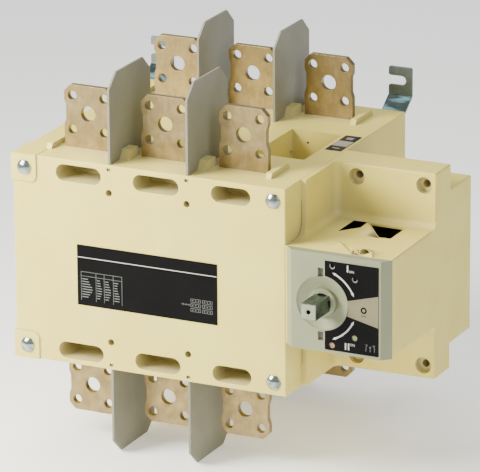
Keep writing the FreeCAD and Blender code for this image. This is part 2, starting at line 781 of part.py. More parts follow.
def cover_screws(module):
    """Four domed hexagon-head screws that hold the cover to the base."""
    screws = []
    for number, (x, z) in enumerate(screw_places()):
        name = f"{module.name}_screw_{number}"
        on_pad = module is front and x.startswith("-1")
        seat = "dims.pad_proud" if on_pad else "0"
        head = doc.addObject("Part::Prism", f"{name}_hex")
        head.Polygon = 6
        head.Placement.Rotation = FreeCAD.Rotation(FreeCAD.Vector(1, 0, 0), 90)
        head.setExpression("Circumradius", "dims.screw_head_radius")
        head.setExpression("Height", "dims.screw_head_height")
        ball = doc.addObject("Part::Sphere", f"{name}_ball")
        ball.setExpression("Radius", "dims.screw_dome")
        crown = f"-{seat} - dims.screw_head_height + dims.screw_crown_drop + dims.screw_dome"
        for feature, depth in ((head, f"-{seat}"), (ball, crown)):
            feature.setExpression("Placement.Base.x", x)
            feature.setExpression("Placement.Base.y", module.at(depth))
            feature.setExpression("Placement.Base.z", z)
        dome = doc.addObject("Part::Common", f"{name}_dome")
        dome.Base = head
        dome.Tool = ball
        end = module.at("dims.screw_length")
        shank = rod(f"{name}_shank", "y", "dims.screw_shank_radius", (x, z), module.at(f"-{seat} - 1"), end)
        screws.append(fuse(name, [dome, shank]))
    keep(f"{module.name}_cover_screws", group(f"{module.name}_screws", screws))


def switch_module(module, sign):
    """Every piece of one three-pole switch."""
    switch_cover(module)
    switch_base(module)
    for row in ROWS:
        for pole in POLES:
            terminal(module, pole, row)
        for side in barrier_columns():
            barrier(module, side, row)
    for pole in POLES:
        contact_blade(module, pole)
    contact_springs(module)
    contact_carriage(module, sign)
    arc_plates(module)
    cover_screws(module)


# ---------------------------------------------------------------- spacer and brackets


def spacer_frame():
    """The box between the modules, with the service well in its top right."""
    start = front.at(front.depth)
    end = rear.face
    wall = "dims.spacer_wall"
    block = box(
        "spacer_block", (f"-{HALF_WIDTH}", HALF_WIDTH), (start, end), (f"-{HALF_HEIGHT}", HALF_HEIGHT)
    )
    inside_x = (f"-{HALF_WIDTH} + {wall}", f"{HALF_WIDTH} - {wall}")
    inside_z = (f"-{HALF_HEIGHT} + {wall}", f"{HALF_HEIGHT} - {wall}")
    inside = box("spacer_inside", inside_x, (f"{start} - 1", f"{end} + 1"), inside_z)
    shell = cut("spacer_shell", block, [inside])
    well_wall = "dims.well_wall"
    around_x = (f"dims.well_left - {well_wall}", f"dims.well_right + {well_wall}")
    around_y = (start, f"{start} + dims.well_back + {well_wall}")
    around_z = (f"dims.well_floor - {well_wall}", HALF_HEIGHT)
    surround = box("spacer_surround", around_x, around_y, around_z)
    solid = fuse("spacer_solid", [shell, surround])
    well_x = ("dims.well_left", "dims.well_right")
    well_y = (f"{start} - 1", f"{start} + dims.well_back")
    well = box("spacer_well", well_x, well_y, ("dims.well_floor", f"{HALF_HEIGHT} + 1"))
    window_y = (
        f"{FRONT_FACE} + dims.flange_front", f"{FRONT_FACE} + dims.rear_rack_depth + dims.rack_width + 6"
    )
    rack_reach = f"({PITCH_RADIUS} - dims.gear_module + dims.rack_height + 4)"
    window = box(
        "spacer_window",
        (f"{HALF_WIDTH} - {wall} - 1", f"{HALF_WIDTH} + 1"),
        window_y,
        (f"-{rack_reach}", rack_reach),
    )
    back_hole_x = "dims.well_left + 16"
    back_hole_z = f"{HALF_HEIGHT} - 12"
    back_hole_y = (f"{start} + dims.well_back - 1", f"{start} + dims.well_back + {well_wall} + 1")
    back_hole = rod(
        "spacer_back_hole", "y", "dims.well_hole_radius", (back_hole_x, back_hole_z), *back_hole_y
    )
    side_hole_y = f"{start} + dims.well_back - 3"
    side_hole_z = f"{HALF_HEIGHT} - 22.5"
    side_hole_x = (f"dims.well_left - {well_wall} - 1", "dims.well_left + 1")
    side_hole = rod(
        "spacer_side_hole", "x", "dims.well_side_hole_radius", (side_hole_y, side_hole_z), *side_hole_x
    )
    keep("spacer_frame", cut("spacer", solid, [well, window, back_hole, side_hole]))


def foot_screw_places():
    """The X and Z expressions of the four screws that hold the brackets' feet."""
    return [(f"{sx} * {MOUNT_COLUMN}", f"{sz} * dims.foot_screw_row") for sx in (-1, 1) for sz in (-1, 1)]


def bracket(side, row):
    """A joggled strip: a foot on the back of the rear module and a slotted tab against the panel."""
    sign = ROWS[row]
    column = f"{POLES[side]} * {MOUNT_COLUMN}"
    thin = "dims.bracket_thickness"
    foot = rear.at(rear.depth)
    slope = f"({thin} / 2)"
    outline = [
        (foot, "dims.bracket_foot_end"),
        (foot, "dims.bracket_foot_bend"),
        (f"-{thin}", "dims.bracket_bend"),
        (f"-{thin}", "dims.bracket_top"),
        ("0", "dims.bracket_top"),
        ("0", f"dims.bracket_bend - {slope}"),
        (f"{foot} + {thin}", f"dims.bracket_foot_bend - {slope}"),
        (f"{foot} + {thin}", "dims.bracket_foot_end"),
    ]
    outline = [(depth, f"{sign} * ({up})") for depth, up in outline]
    name = f"bracket_{row}_{side}"
    left = f"{column} - dims.bracket_inner"
    strip = plate(f"{name}_strip", "YZ_Plane", outline, "dims.bracket_width", (left, "0", "0"))
    radius = "dims.bracket_slot_radius"
    height = f"{sign} * dims.bracket_slot_height"
    y = (f"-{thin} - 1", "1")
    slot_end = rod(f"{name}_slot_end", "y", radius, (column, height), *y)
    slot = box(f"{name}_slot", (f"{left} - 1", column), y, (f"{height} - {radius}", f"{height} + {radius}"))
    foot_y = (f"{foot} - 1", f"{foot} + {thin} + 1")
    hole_radius = "dims.foot_screw_radius + dims.screw_clearance"
    hole = rod(f"{name}_hole", "y", hole_radius, (column, f"{sign} * dims.foot_screw_row"), *foot_y)
    cut_strip = cut(name + "_cut", strip, [slot_end, slot, hole])
    inner, top = value(left), value(f"{sign} * dims.bracket_top")
    mouths = [value(f"{height} + {side} * {radius}") for side in (-1, 1)]

    def at_corner(edge):
        """Whether an edge runs through the sheet at a top corner or at the slot's open end."""
        low = edge.BoundBox
        if low.XLength + low.ZLength > 1e-3:
            return False
        at_mouth = abs(low.XMin - inner) < 1e-3 and min(abs(low.ZMin - mouth) for mouth in mouths) < 1e-3
        return at_mouth or abs(low.ZMin - top) < 1e-3

    keep(name, fillet(f"{name}_corners", cut_strip, "dims.bracket_corner", at_corner))


def foot_screws():
    """Four pan-head screws through the brackets' feet."""
    screws = []
    foot = f"{rear.at(rear.depth)} + dims.bracket_thickness"
    for number, (x, z) in enumerate(foot_screw_places()):
        name = f"foot_screw_{number}"
        head = rod(
            f"{name}_head", "y", "dims.foot_head_radius", (x, z), foot, f"{foot} + dims.foot_head_height"
        )
        tip = f"{rear.at(rear.depth)} - dims.foot_screw_length + 1"
        shank = rod(f"{name}_shank", "y", "dims.foot_screw_radius", (x, z), tip, f"{foot} + 1")
        screws.append(fuse(name, [head, shank]))
    keep("bracket_screws", group("foot_screws", screws))


# ---------------------------------------------------------------- mechanism


def depth_y(depth):
    """The Y expression of a plane that lies depth behind the front module's face."""
    return f"{FRONT_FACE} + ({depth})"


def column_places():
    """The X and Z expressions of the centres of the four screw columns in the mechanism."""
    inset = "dims.column_size / 2"
    xs = (f"{HALF_WIDTH} + dims.side_wall + {inset}", f"{MECHANISM_RIGHT} - dims.shell_wall - {inset}")
    row = f"(dims.tail_half - dims.shell_wall - {inset})"
    return [(x, f"{sign} * {row}") for x in xs for sign in (-1, 1)]


def columns(tag, y):
    """Square screw columns inside a mechanism shell."""
    half = "dims.column_size / 2"
    blocks = []
    for number, (x, z) in enumerate(column_places()):
        span_x = (f"{x} - {half} - 1", f"{x} + {half} + 1")
        span_z = (f"{z} - {half} - 1", f"{z} + {half} + 1")
        blocks.append(box(f"{tag}_column_{number}", span_x, y, span_z))
    return blocks


def column_holes(tag, y):
    """Cutters for the screws in the columns."""
    radius = "dims.foot_screw_radius + dims.thread_gap"
    return [rod(f"{tag}_hole_{n}", "y", radius, place, *y) for n, place in enumerate(column_places())]


def drive_port(name, x, start, end):
    """A cutter for the window in a side wall that the racks pass through."""
    reach = f"({PITCH_RADIUS} - dims.gear_module + dims.rack_height + 4)"
    return box(name, x, (depth_y(start), depth_y(end)), (f"-{reach}", reach))


def mechanism_housing():
    """The side moulding: wall against the switch, wide flange and the block that carries the front plate."""
    right = MECHANISM_RIGHT
    inner_left = f"{HALF_WIDTH} + dims.side_wall"
    inner_right = f"{right} - dims.shell_wall"
    block_half = "dims.block_half"
    wall_x = (HALF_WIDTH, inner_left)
    wall = box(
        "housing_wall",
        wall_x,
        (depth_y("dims.side_wall_front"), depth_y("dims.flange_back")),
        (f"-{HALF_HEIGHT}", HALF_HEIGHT),
    )
    flange = box(
        "housing_flange", (HALF_WIDTH, right), (depth_y("dims.flange_front"), depth_y("dims.flange_back")), (
            f"-{HALF_HEIGHT}", HALF_HEIGHT
        )
    )
    block = box(
        "housing_block",
        (HALF_WIDTH, right),
        (depth_y("0"), depth_y("dims.flange_front")),
        (f"-{block_half}", block_half),
    )
    curve = "dims.side_curve"
    curves = []
    for row, sign in ROWS.items():
        low, high = outward(sign, block_half, f"{block_half} + {curve}")
        y = (depth_y(f"dims.side_wall_front - {curve}"), depth_y("dims.side_wall_front"))
        corner = box(f"housing_corner_{row}", wall_x, y, (low, high))
        centre = (depth_y(f"dims.side_wall_front - {curve}"), f"{sign} * ({block_half} + {curve})")
        scoop = rod(f"housing_scoop_{row}", "x", curve, centre, f"{HALF_WIDTH} - 1", f"{inner_left} + 1")
        curves.append(cut(f"housing_curve_{row}", corner, [scoop]))
    solid = fuse("housing_solid", [wall, flange, block, *curves])
    doc.recompute()
    near_x = value(inner_left)
    near_y = value(depth_y("dims.flange_front"))
    near_z = value(block_half)

    def in_recess(edge):
        """Whether an edge is one of the concave edges of the two recesses."""
        upright = lies_on(edge, x=near_x, y=near_y)
        along = any(lies_on(edge, x=near_x, z=sign * near_z) for sign in ROWS.values())
        across = any(lies_on(edge, y=near_y, z=sign * near_z) for sign in ROWS.values())
        return upright or along or across

    rounded = fillet("housing_rounded", solid, "dims.recess_fillet", in_recess)
    block_y = (depth_y("dims.shell_wall"), depth_y("dims.flange_front + dims.shell_wall + 1"))
    block_inside = box(
        "housing_block_inside",
        (inner_left, inner_right),
        block_y,
        (f"-{block_half} + dims.shell_wall", f"{block_half} - dims.shell_wall"),
    )
    flange_y = (depth_y("dims.flange_front + dims.shell_wall"), depth_y("dims.flange_back + 1"))
    flange_inside = box(
        "housing_flange_inside",
        (inner_left, inner_right),
        flange_y,
        ("-dims.flange_cavity", "dims.flange_cavity"),
    )
    cavity = fuse("housing_cavity", [block_inside, flange_inside])
    column_y = (depth_y("dims.flange_front"), depth_y("dims.flange_back"))
    spindle = (SPINDLE_COLUMN, "0")
    boss = rod("housing_boss", "y", "dims.bush_boss", spindle, depth_y("0"), depth_y("dims.bush_length"))
    hollow = cut("housing_hollow", rounded, [cavity])
    filled = fuse("housing_filled", [hollow, boss, *columns("housing", column_y)])
    cutters = column_holes(
        "housing", (depth_y("dims.flange_front + dims.shell_wall"), depth_y("dims.flange_back + 1"))
    )
    bush_radius = "dims.bush_radius + dims.thread_gap"
    cutters.append(
        rod("housing_bush_hole", "y", bush_radius, spindle, depth_y("-1"), depth_y("dims.bush_length + 1"))
    )
    cutters.append(
        drive_port(
            "housing_port",
            (f"{HALF_WIDTH} - 1", f"{inner_left} + 1"),
            "dims.flange_front + dims.shell_wall",
            "dims.flange_back + 1",
        ),
    )
    for offset in ("dims.fixing_left", "dims.fixing_right"):
        for sign in ROWS.values():
            place = (f"{HALF_WIDTH} + {offset}", f"{sign} * {SCREW_ROW}")
            front_y = depth_y("dims.flange_front - 1")
            floor_y = depth_y("dims.flange_front + dims.fixing_counterbore_depth")
            cutters.append(
                rod("housing_counterbore", "y", "dims.fixing_counterbore", place, front_y, floor_y)
            )
            cutters.append(
                rod(
                    "housing_fixing",
                    "y",
                    "dims.fixing_radius",
                    place,
                    front_y,
                    depth_y("dims.flange_back + 1"),
                ),
            )
    cutters += [*sight_cutters(), *seam_cutters()]
    opened = cut("housing_opened", filled, cutters)
    keep("mechanism_housing", fuse("housing", [opened, *tents(), *latch_hood()]))


def beside(offset):
    """The X expression of a place that far to the right of the switches."""
    return f"{HALF_WIDTH} + {offset}"


def sight_cutters():
    """The opening in the block's top, with a web across its near left corner and a thin back edge."""
    outline = [
        (beside("dims.sight_left"), "dims.sight_back"),
        (beside("dims.sight_right"), "dims.sight_back"),
        (beside("dims.sight_right"), "dims.sight_front"),
        (beside("dims.sight_left + dims.sight_web"), "dims.sight_front"),
    ]
    low = "dims.block_half - dims.shell_wall - 1"
    opening = plate("sight_opening", "XY_Plane", outline, "dims.shell_wall + 2", ("0", FRONT_FACE, low))
    x = (beside("dims.sight_left"), beside("dims.sight_right"))
    y = (depth_y("dims.sight_back - 1"), depth_y("dims.sight_back + dims.sight_undercut"))
    return [opening, box("sight_thinning", x, y, (low, "dims.block_half - dims.sight_lip"))]


def seam_cutters():
    """The narrow gap between the side wall's front edge and the switch, along the edge and its curve."""
    x = (f"{HALF_WIDTH} - 1", f"{HALF_WIDTH} + dims.seam_gap")
    edge = "dims.side_wall_front"
    y = (depth_y(f"{edge} - 1"), depth_y(f"{edge} + dims.seam_depth"))
    cutters = []
    for row, sign in ROWS.items():
        turn = "dims.block_half + dims.side_curve"
        cutters.append(box(f"seam_edge_{row}", x, y, outward(sign, turn, "dims.seam_top")))
        centre = (depth_y(f"{edge} - dims.side_curve"), f"{sign} * ({turn})")
        cutters.append(rod(f"seam_curve_{row}", "x", "dims.side_curve + dims.seam_depth", centre, *x))
    return cutters


def taper(name, radius, tip, place, length):
    """A round bar that narrows towards the back, from expressions for its radii, (x, z) and length."""
    cone = doc.addObject("Part::Cone", name)
    cone.Placement.Rotation = FreeCAD.Rotation(FreeCAD.Vector(1, 0, 0), -90)
    cone.setExpression("Placement.Base.x", place[0])
    cone.setExpression("Placement.Base.y", depth_y("dims.hood_front"))
    cone.setExpression("Placement.Base.z", place[1])
    cone.setExpression("Radius1", radius)
    cone.setExpression("Radius2", tip)
    cone.setExpression("Height", length)
    return cone


def latch_hood():
    """The small arched hood near the front of the block's top, the drilled stud and the fin beside it."""
    level = "dims.block_half + dims.hood_rise"
    floor = "dims.block_half - dims.hood_root"
    below_y = (depth_y("dims.hood_front - 1"), depth_y("dims.hood_front + dims.hood_length + 1"))
    below_x = (beside("dims.stud_right - 10"), beside("dims.hood_right + 10"))
    below = box("hood_below", below_x, below_y, (f"{floor} - 10", floor))
    place = (beside("dims.hood_right"), level)
    hood = taper("hood_outside", "dims.hood_radius", "0.5", place, "dims.hood_length")
    bore = taper("hood_bore", "dims.hood_bore", "1", place, "dims.hood_bore_depth")
    stud = taper(
        "stud_outside", "dims.stud_radius", "0.5", (beside("dims.stud_right"), level), "dims.stud_length"
    )
    hole_y = (depth_y("dims.hood_front - 1"), depth_y("dims.hood_front + dims.stud_hole_depth"))
    hole_place = (beside("dims.stud_hole_right"), f"{level} + 0.9")
    hole = rod("stud_hole", "y", "dims.stud_hole_radius", hole_place, *hole_y)
    low = "dims.block_half - 1"
    left, right = beside("dims.fin_left"), beside("dims.fin_right")
    base = [
        (left, depth_y("0.5"), low),
        (right, depth_y("0.5"), low),
        (right, depth_y("dims.hood_front + 1"), low),
    ]
    apex = (f"{right} - 2", depth_y("dims.hood_front - 2"), "dims.block_half + dims.fin_height")
    return [
        cut("hood", hood, [bore, below]), cut("stud", stud, [hole, below]), pyramid("latch_fin", base, apex)
    ]


def pyramid(name, base, apex):
    """A low three-sided pyramid from expressions for its base corners and its apex."""
    corners = [FreeCAD.Vector(*(value(part) for part in corner)) for corner in base]
    top = FreeCAD.Vector(*(value(part) for part in apex))
    sides = [(corners[n], corners[(n + 1) % 3], top) for n in range(3)]
    faces = [Part.Face(Part.makePolygon([*side, side[0]])) for side in (tuple(corners), *sides)]
    solid = Part.makeSolid(Part.makeShell(faces))
    if solid.Volume < 0:
        solid.reverse()
    shape = doc.addObject("Part::Feature", name)
    shape.Shape = solid
    return shape


def tents():
    """The two low three-sided rests moulded on the block's top."""
    left = beside("dims.sight_left")
    right = beside("dims.sight_left + dims.sight_web")
    apex_x = beside("dims.sight_left + dims.tent_apex_right")
    low = "dims.block_half - 1"
    high = "dims.block_half + dims.tent_height"
    rests = []
    for tag, near, far in (
        ("sight", "dims.sight_front", "dims.sight_back"),
        ("front", "dims.tent_front", "dims.tent_front + dims.tent_length"),
    ):
        base = [(left, depth_y(near), low), (right, depth_y(near), low), (left, depth_y(far), low)]
        apex = (apex_x, depth_y(f"{far} - dims.tent_apex_back"), high)
        rests.append(pyramid(f"{tag}_tent", base, apex))
    return rests


def mechanism_back_cover():
    """The shell behind the flange, with the rear bearing boss."""
    right = MECHANISM_RIGHT
    inner_left = f"{HALF_WIDTH} + dims.side_wall"
    tail = "dims.tail_half"
    block = box(
        "tail_block",
        (HALF_WIDTH, right),
        (depth_y("dims.flange_back"), depth_y("dims.tail_back")),
        (f"-{tail}", tail),
    )
    inside_y = (depth_y("dims.flange_back - 1"), depth_y("dims.tail_back - dims.shell_wall"))
    inside_z = (f"-{tail} + dims.shell_wall", f"{tail} - dims.shell_wall")
    inside = box("tail_inside", (inner_left, f"{right} - dims.shell_wall"), inside_y, inside_z)
    hollow = cut("tail_hollow", block, [inside])
    spindle = (SPINDLE_COLUMN, "0")
    boss = rod(
        "tail_boss",
        "y",
        "dims.bush_boss",
        spindle,
        depth_y("dims.tail_back - dims.bush_length"),
        depth_y("dims.tail_back - 1"),
    )
    tail_y = (depth_y("dims.flange_back"), depth_y("dims.tail_back"))
    filled = fuse("tail_filled", [hollow, boss, *columns("tail", tail_y)])
    cutters = column_holes("tail", (depth_y("dims.flange_back - 1"), depth_y("dims.tail_back + 1")))
    bush_radius = "dims.bush_radius + dims.thread_gap"
    bush_y = (depth_y("dims.tail_back - dims.bush_length - 1"), depth_y("dims.tail_back - 2"))
    cutters.append(rod("tail_bush_hole", "y", bush_radius, spindle, *bush_y))
    port_x = (f"{HALF_WIDTH} - 1", f"{inner_left} + 1")
    cutters.append(
        drive_port("tail_port", port_x, "dims.flange_back - 1", "dims.rear_rack_depth + dims.rack_width + 6")
    )
    keep("mechanism_back_cover", cut("tail", filled, cutters))


def back_cover_screws():
    """Four pan-head screws that hold the back cover to the housing."""
    screws = []
    for number, place in enumerate(column_places()):
        name = f"tail_screw_{number}"
        face = depth_y("dims.tail_back")
        head = rod(
            f"{name}_head", "y", "dims.foot_head_radius", place, face, f"{face} + dims.foot_head_height"
        )
        tip = depth_y("dims.flange_front + dims.shell_wall + 6")
        shank = rod(f"{name}_shank", "y", "dims.foot_screw_radius", place, tip, f"{face} + 1")
        screws.append(fuse(name, [head, shank]))
    keep("back_cover_screws", group("tail_screws", screws))


def front_plate():
    """The grey plate over the block, with sloping sides, a round dish and two small windows."""
    bevel = "dims.plate_bevel"
    outline = [
        (beside("dims.plate_left"), "0"),
        (beside(f"dims.plate_left + {bevel}"), "-dims.plate_thickness"),
        (beside(f"dims.plate_right - {bevel}"), "-dims.plate_thickness"),
        (beside("dims.plate_right"), "0"),
    ]
    height = "dims.plate_top - dims.plate_bottom"
    blank = plate("plate_blank", "XY_Plane", outline, height, ("0", FRONT_FACE, "dims.plate_bottom"))
    spindle = (SPINDLE_COLUMN, "0")
    face = depth_y("-dims.plate_thickness - 1")
    dish = doc.addObject("Part::Cone", "plate_dish")
    dish.Placement.Rotation = FreeCAD.Rotation(FreeCAD.Vector(1, 0, 0), -90)
    dish.setExpression("Placement.Base.x", SPINDLE_COLUMN)
    dish.setExpression("Placement.Base.y", depth_y("-dims.plate_thickness"))
    dish.setExpression("Radius1", "dims.dish_radius")
    dish.setExpression("Radius2", "dims.dish_floor_radius")
    dish.setExpression("Height", "dims.dish_depth")
    hole_radius = "dims.collar_radius + dims.collar_gap"
    hole = rod("plate_hole", "y", hole_radius, spindle, face, depth_y("1"))
    windows = []
    for row, sign in ROWS.items():
        near = "dims.dish_radius + dims.window_gap"
        low, high = outward(sign, near, f"{near} + dims.window_height")
        x = (beside("dims.window_left"), beside("dims.window_left + dims.window_width"))
        y = (face, depth_y("-dims.plate_thickness + dims.window_depth"))
        z = (f"{low} - dims.dial_drop", f"{high} - dims.dial_drop")
        windows.append(box(f"plate_window_{row}", x, y, z))
    pilots = pilot_holes("plate_pilot", (face, depth_y("-dims.plate_thickness + dims.window_depth")))
    rim_y = (depth_y("-dims.plate_thickness - dims.dish_rim_height"), depth_y("-dims.plate_thickness + 0.5"))
    rim = rod("plate_rim", "y", "dims.dish_radius + dims.dish_rim_width", spindle, *rim_y)
    mouth_y = (f"{rim_y[0]} - 1", depth_y("-dims.plate_thickness"))
    mouth = rod("plate_mouth", "y", "dims.dish_radius", spindle, *mouth_y)
    raised = fuse("plate_raised", [blank, rim])
    keep("front_plate", cut("plate_cut", raised, [mouth, dish, hole, *windows, *pilots]))


def pilot_holes(name, y):
    """Cutters for the four small holes beside the dial."""
    places = {
        "dims.pilot_near": "dims.pilot_near_height",
        "dims.pilot_far": "dims.pilot_far_height",
    }
    cutters = []
    for offset, height in places.items():
        for sign in ROWS.values():
            place = (beside(offset), f"{sign} * {height} - dims.dial_drop")
            cutters.append(rod(name, "y", "dims.pilot_radius", place, *y))
    return cutters


def labels():
    """The printed films: dial label, front label and position strip."""
    film = "dims.film_thickness"
    plate_face = depth_y("-dims.plate_thickness")
    x = (beside("dims.dial_left"), beside("dims.dial_right"))
    z = ("-dims.dial_half - dims.dial_drop", "dims.dial_half - dims.dial_drop")
    blank = box("dial_blank", x, (f"{plate_face} - {film}", plate_face), z)
    around = "dims.dish_radius + dims.dial_arc_gap"
    bite = rod(
        "dial_bite", "y", around, (SPINDLE_COLUMN, "0"), f"{plate_face} - {film} - 1", f"{plate_face} + 1"
    )
    pilots = pilot_holes("dial_pilot", (f"{plate_face} - {film} - 1", f"{plate_face} + 1"))
    keep("dial_label", cut("dial_cut", blank, [bite, *pilots]))
    y = (depth_y(f"-{film}"), depth_y("0"))
    keep(
        "front_label",
        box("name_film", ("dims.label_left", "dims.label_right"), y, ("dims.label_bottom", "dims.label_top")),
    )
    strip_y = (depth_y("dims.strip_front"), depth_y("dims.strip_back"))
    strip_z = (HALF_HEIGHT, f"{HALF_HEIGHT} + {film}")
    strip_right = f"{HALF_WIDTH} - dims.strip_inset"
    strip_x = (f"{strip_right} - dims.strip_width", strip_right)
    keep("position_label", box("strip_film", strip_x, strip_y, strip_z))


# ---------------------------------------------------------------- spindle and drive


def spindle():
    """The handle spindle: a square end in front and a round shaft through both bushes."""
    across = (SPINDLE_COLUMN, "0")
    half = "dims.spindle_square / 2"
    x = (f"{SPINDLE_COLUMN} - {half}", f"{SPINDLE_COLUMN} + {half}")
    square = box(
        "spindle_end",
        x,
        (depth_y("-dims.spindle_reach"), depth_y("-dims.spindle_shoulder")),
        (f"-{half}", half),
    )
    shaft = rod(
        "spindle_shaft",
        "y",
        "dims.spindle_radius",
        across,
        depth_y("-dims.spindle_shoulder"),
        depth_y("dims.spindle_back"),
    )
    solid = fuse("spindle_solid", [square, shaft])
    tip = depth_y("-dims.spindle_reach - 1")
    bore = rod(
        "spindle_bore",
        "y",
        "dims.spindle_hole_radius",
        across,
        tip,
        depth_y("-dims.spindle_reach + dims.spindle_hole_depth"),
    )
    keep("spindle", cut("spindle_cut", solid, [bore, gear_pin_cutter("spindle_pin_hole")]))


def gear_pin_cutter(name):
    """The cross hole that the pinion's pin sits in."""
    middle = depth_y("(dims.front_rack_depth + dims.rack_width + dims.rear_rack_depth) / 2")
    reach = f"{PITCH_RADIUS} + dims.gear_module + 1"
    radius = "dims.gear_pin_radius + dims.thread_gap"
    return rod(name, "z", radius, (SPINDLE_COLUMN, middle), f"-({reach})", reach)


def gear_pin():
    """The pin that drives the pinion from the spindle."""
    middle = depth_y("(dims.front_rack_depth + dims.rack_width + dims.rear_rack_depth) / 2")
    reach = f"({PITCH_RADIUS} - dims.gear_module * 1.5)"
    pin = rod("gear_pin", "z", "dims.gear_pin_radius", (SPINDLE_COLUMN, middle), f"-{reach}", reach)
    keep("pinion_pin", pin)


def spindle_collar():
    """The round plastic collar at the bottom of the dish."""
    across = (SPINDLE_COLUMN, "0")
    start = depth_y("-dims.plate_thickness + dims.dish_depth - dims.collar_height")
    disc = rod("collar_disc", "y", "dims.collar_radius", across, start, depth_y("-dims.collar_gap"))
    bore = rod(
        "collar_bore", "y", "dims.spindle_radius + dims.thread_gap", across, f"{start} - 1", depth_y("1")
    )
    half = "(dims.spindle_square / 2 + dims.thread_gap)"
    x = (f"{SPINDLE_COLUMN} - {half}", f"{SPINDLE_COLUMN} + {half}")
    square = box("collar_square", x, (f"{start} - 1", depth_y("-dims.spindle_shoulder")), (f"-{half}", half))
    keep("spindle_collar", cut("collar_cut", disc, [bore, square]))


def bush(name, start, end):
    """A plain bearing bush for the spindle."""
    across = (SPINDLE_COLUMN, "0")
    sleeve = rod(f"{name}_sleeve", "y", "dims.bush_radius", across, depth_y(start), depth_y(end))
    bore_radius = "dims.spindle_radius + dims.running_gap"
    bore = rod(f"{name}_bore", "y", bore_radius, across, depth_y(f"{start} - 1"), depth_y(f"{end} + 1"))
    keep(name, cut(f"{name}_cut", sleeve, [bore]))


def involute_tooth_points(base_radius, start_radius, end_radius, half_angle_at_base, steps):
    """Points of one flank from start_radius out to end_radius, as (radius, angle from the tooth's middle)."""
    points = []
    for step in range(steps + 1):
        radius = start_radius + (end_radius - start_radius) * step / steps
        pressure = math.acos(min(1.0, base_radius / radius))
        points.append((radius, half_angle_at_base - (math.tan(pressure) - pressure)))
    return points


def pinion():
    """The long pinion that drives both racks; a gap between teeth faces each rack at rest."""
    module = value("dims.gear_module")
    teeth = int(value("dims.gear_teeth"))
    pressure = math.radians(value("dims.pressure_angle"))
    pitch_radius = module * teeth / 2
    base_radius = pitch_radius * math.cos(pressure)
    tip_radius = pitch_radius + module
    root_radius = pitch_radius - module - value("dims.root_clearance")
    thickness = math.pi * module / 2 - value("dims.gear_backlash")
    half_at_pitch = thickness / (2 * pitch_radius)
    half_at_base = half_at_pitch + math.tan(pressure) - pressure
    start_radius = max(base_radius, root_radius)
    flank = involute_tooth_points(base_radius, start_radius, tip_radius, half_at_base, 5)
    pitch_angle = 2 * math.pi / teeth
    edges = []

    def spot(radius, angle):
        """A point of the gear's outline in its own plane."""
        return FreeCAD.Vector(radius * math.sin(angle), 0, radius * math.cos(angle))

    for tooth in range(teeth):
        middle = (tooth + 0.5) * pitch_angle
        left = [spot(radius, middle - angle) for radius, angle in flank]
        right = [spot(radius, middle + angle) for radius, angle in reversed(flank)]
        root_angle = flank[0][1]
        rising = spot(root_radius, middle - root_angle)
        falling = spot(root_radius, middle + root_angle)
        following = spot(root_radius, middle + pitch_angle - root_angle)
        valley = spot(root_radius, middle + pitch_angle / 2)
        path = [rising, *left, *right, falling]
        crest = len(left)
        for index in range(len(path) - 1):
            if index == crest:
                edges.append(Part.Arc(path[index], spot(tip_radius, middle), path[index + 1]).toShape())
            elif path[index].distanceToPoint(path[index + 1]) > 1e-6:
                edges.append(Part.LineSegment(path[index], path[index + 1]).toShape())
        edges.append(Part.Arc(falling, valley, following).toShape())
    face = Part.Face(Part.Wire(Part.__sortEdges__(edges)))
    start = value("dims.gear_front")
    solid = face.extrude(FreeCAD.Vector(0, value("dims.gear_back") - start, 0))
    blank = doc.addObject("Part::Feature", "pinion_blank")
    blank.Shape = solid
    place = FreeCAD.Vector(value(SPINDLE_COLUMN), value(depth_y("dims.gear_front")), 0)
    blank.Placement = FreeCAD.Placement(place, FreeCAD.Rotation())
    across = (SPINDLE_COLUMN, "0")
    bore_radius = "dims.spindle_radius + dims.thread_gap"
    bore = rod(
        "pinion_bore", "y", bore_radius, across, depth_y("dims.gear_front - 1"), depth_y("dims.gear_back + 1")
    )
    keep("drive_pinion", cut("pinion_cut", blank, [bore, gear_pin_cutter("pinion_pin_hole")]))


def rack(name, sign, depth):
    """A toothed drive bar; sign is +1 above the pinion and -1 below it."""
    pitch_line = PITCH_RADIUS
    tips = f"{pitch_line} - dims.gear_module"
    back = f"{tips} + dims.rack_height"
    right = f"{SPINDLE_COLUMN} + dims.rack_reach"
    bar_outline = [("dims.arm_left", tips), ("dims.arm_left", back), (right, back), (right, tips)]
    bar_outline = [(across, f"{sign} * ({up})") for across, up in bar_outline]
    bar = plate(
        f"{name}_bar",
        "XZ_Plane",
        bar_outline,
        "dims.rack_width",
        ("0", depth_y(f"{depth} + dims.rack_width"), "0"),
    )
    slope = "tan(dims.pressure_angle * 1 deg)"
    half_gap = f"({math.pi / 4:.9f} * dims.gear_module)"
    root = f"{pitch_line} + dims.gear_module + dims.root_clearance"
    mouth = f"({half_gap} + (dims.gear_module + 1) * {slope})"
    floor = f"({half_gap} - (dims.gear_module + dims.root_clearance) * {slope})"
    gaps = []
    count = int(value("dims.rack_gaps"))
    for number in range(count):
        middle = f"{SPINDLE_COLUMN} + ({number} - {(count - 1) / 2}) * {math.pi:.9f} * dims.gear_module"
        outline = [
            (f"{middle} - {mouth}", f"{tips} - 1"),
            (f"{middle} + {mouth}", f"{tips} - 1"),
            (f"{middle} + {floor}", root),
            (f"{middle} - {floor}", root),
        ]
        outline = [(across, f"{sign} * ({up})") for across, up in outline]
        place = ("0", depth_y(f"{depth} + dims.rack_width + 1"), "0")
        gaps.append(plate(f"{name}_gap_{number}", "XZ_Plane", outline, "dims.rack_width + 2", place))
    keep(name, cut(f"{name}_cut", bar, gaps))


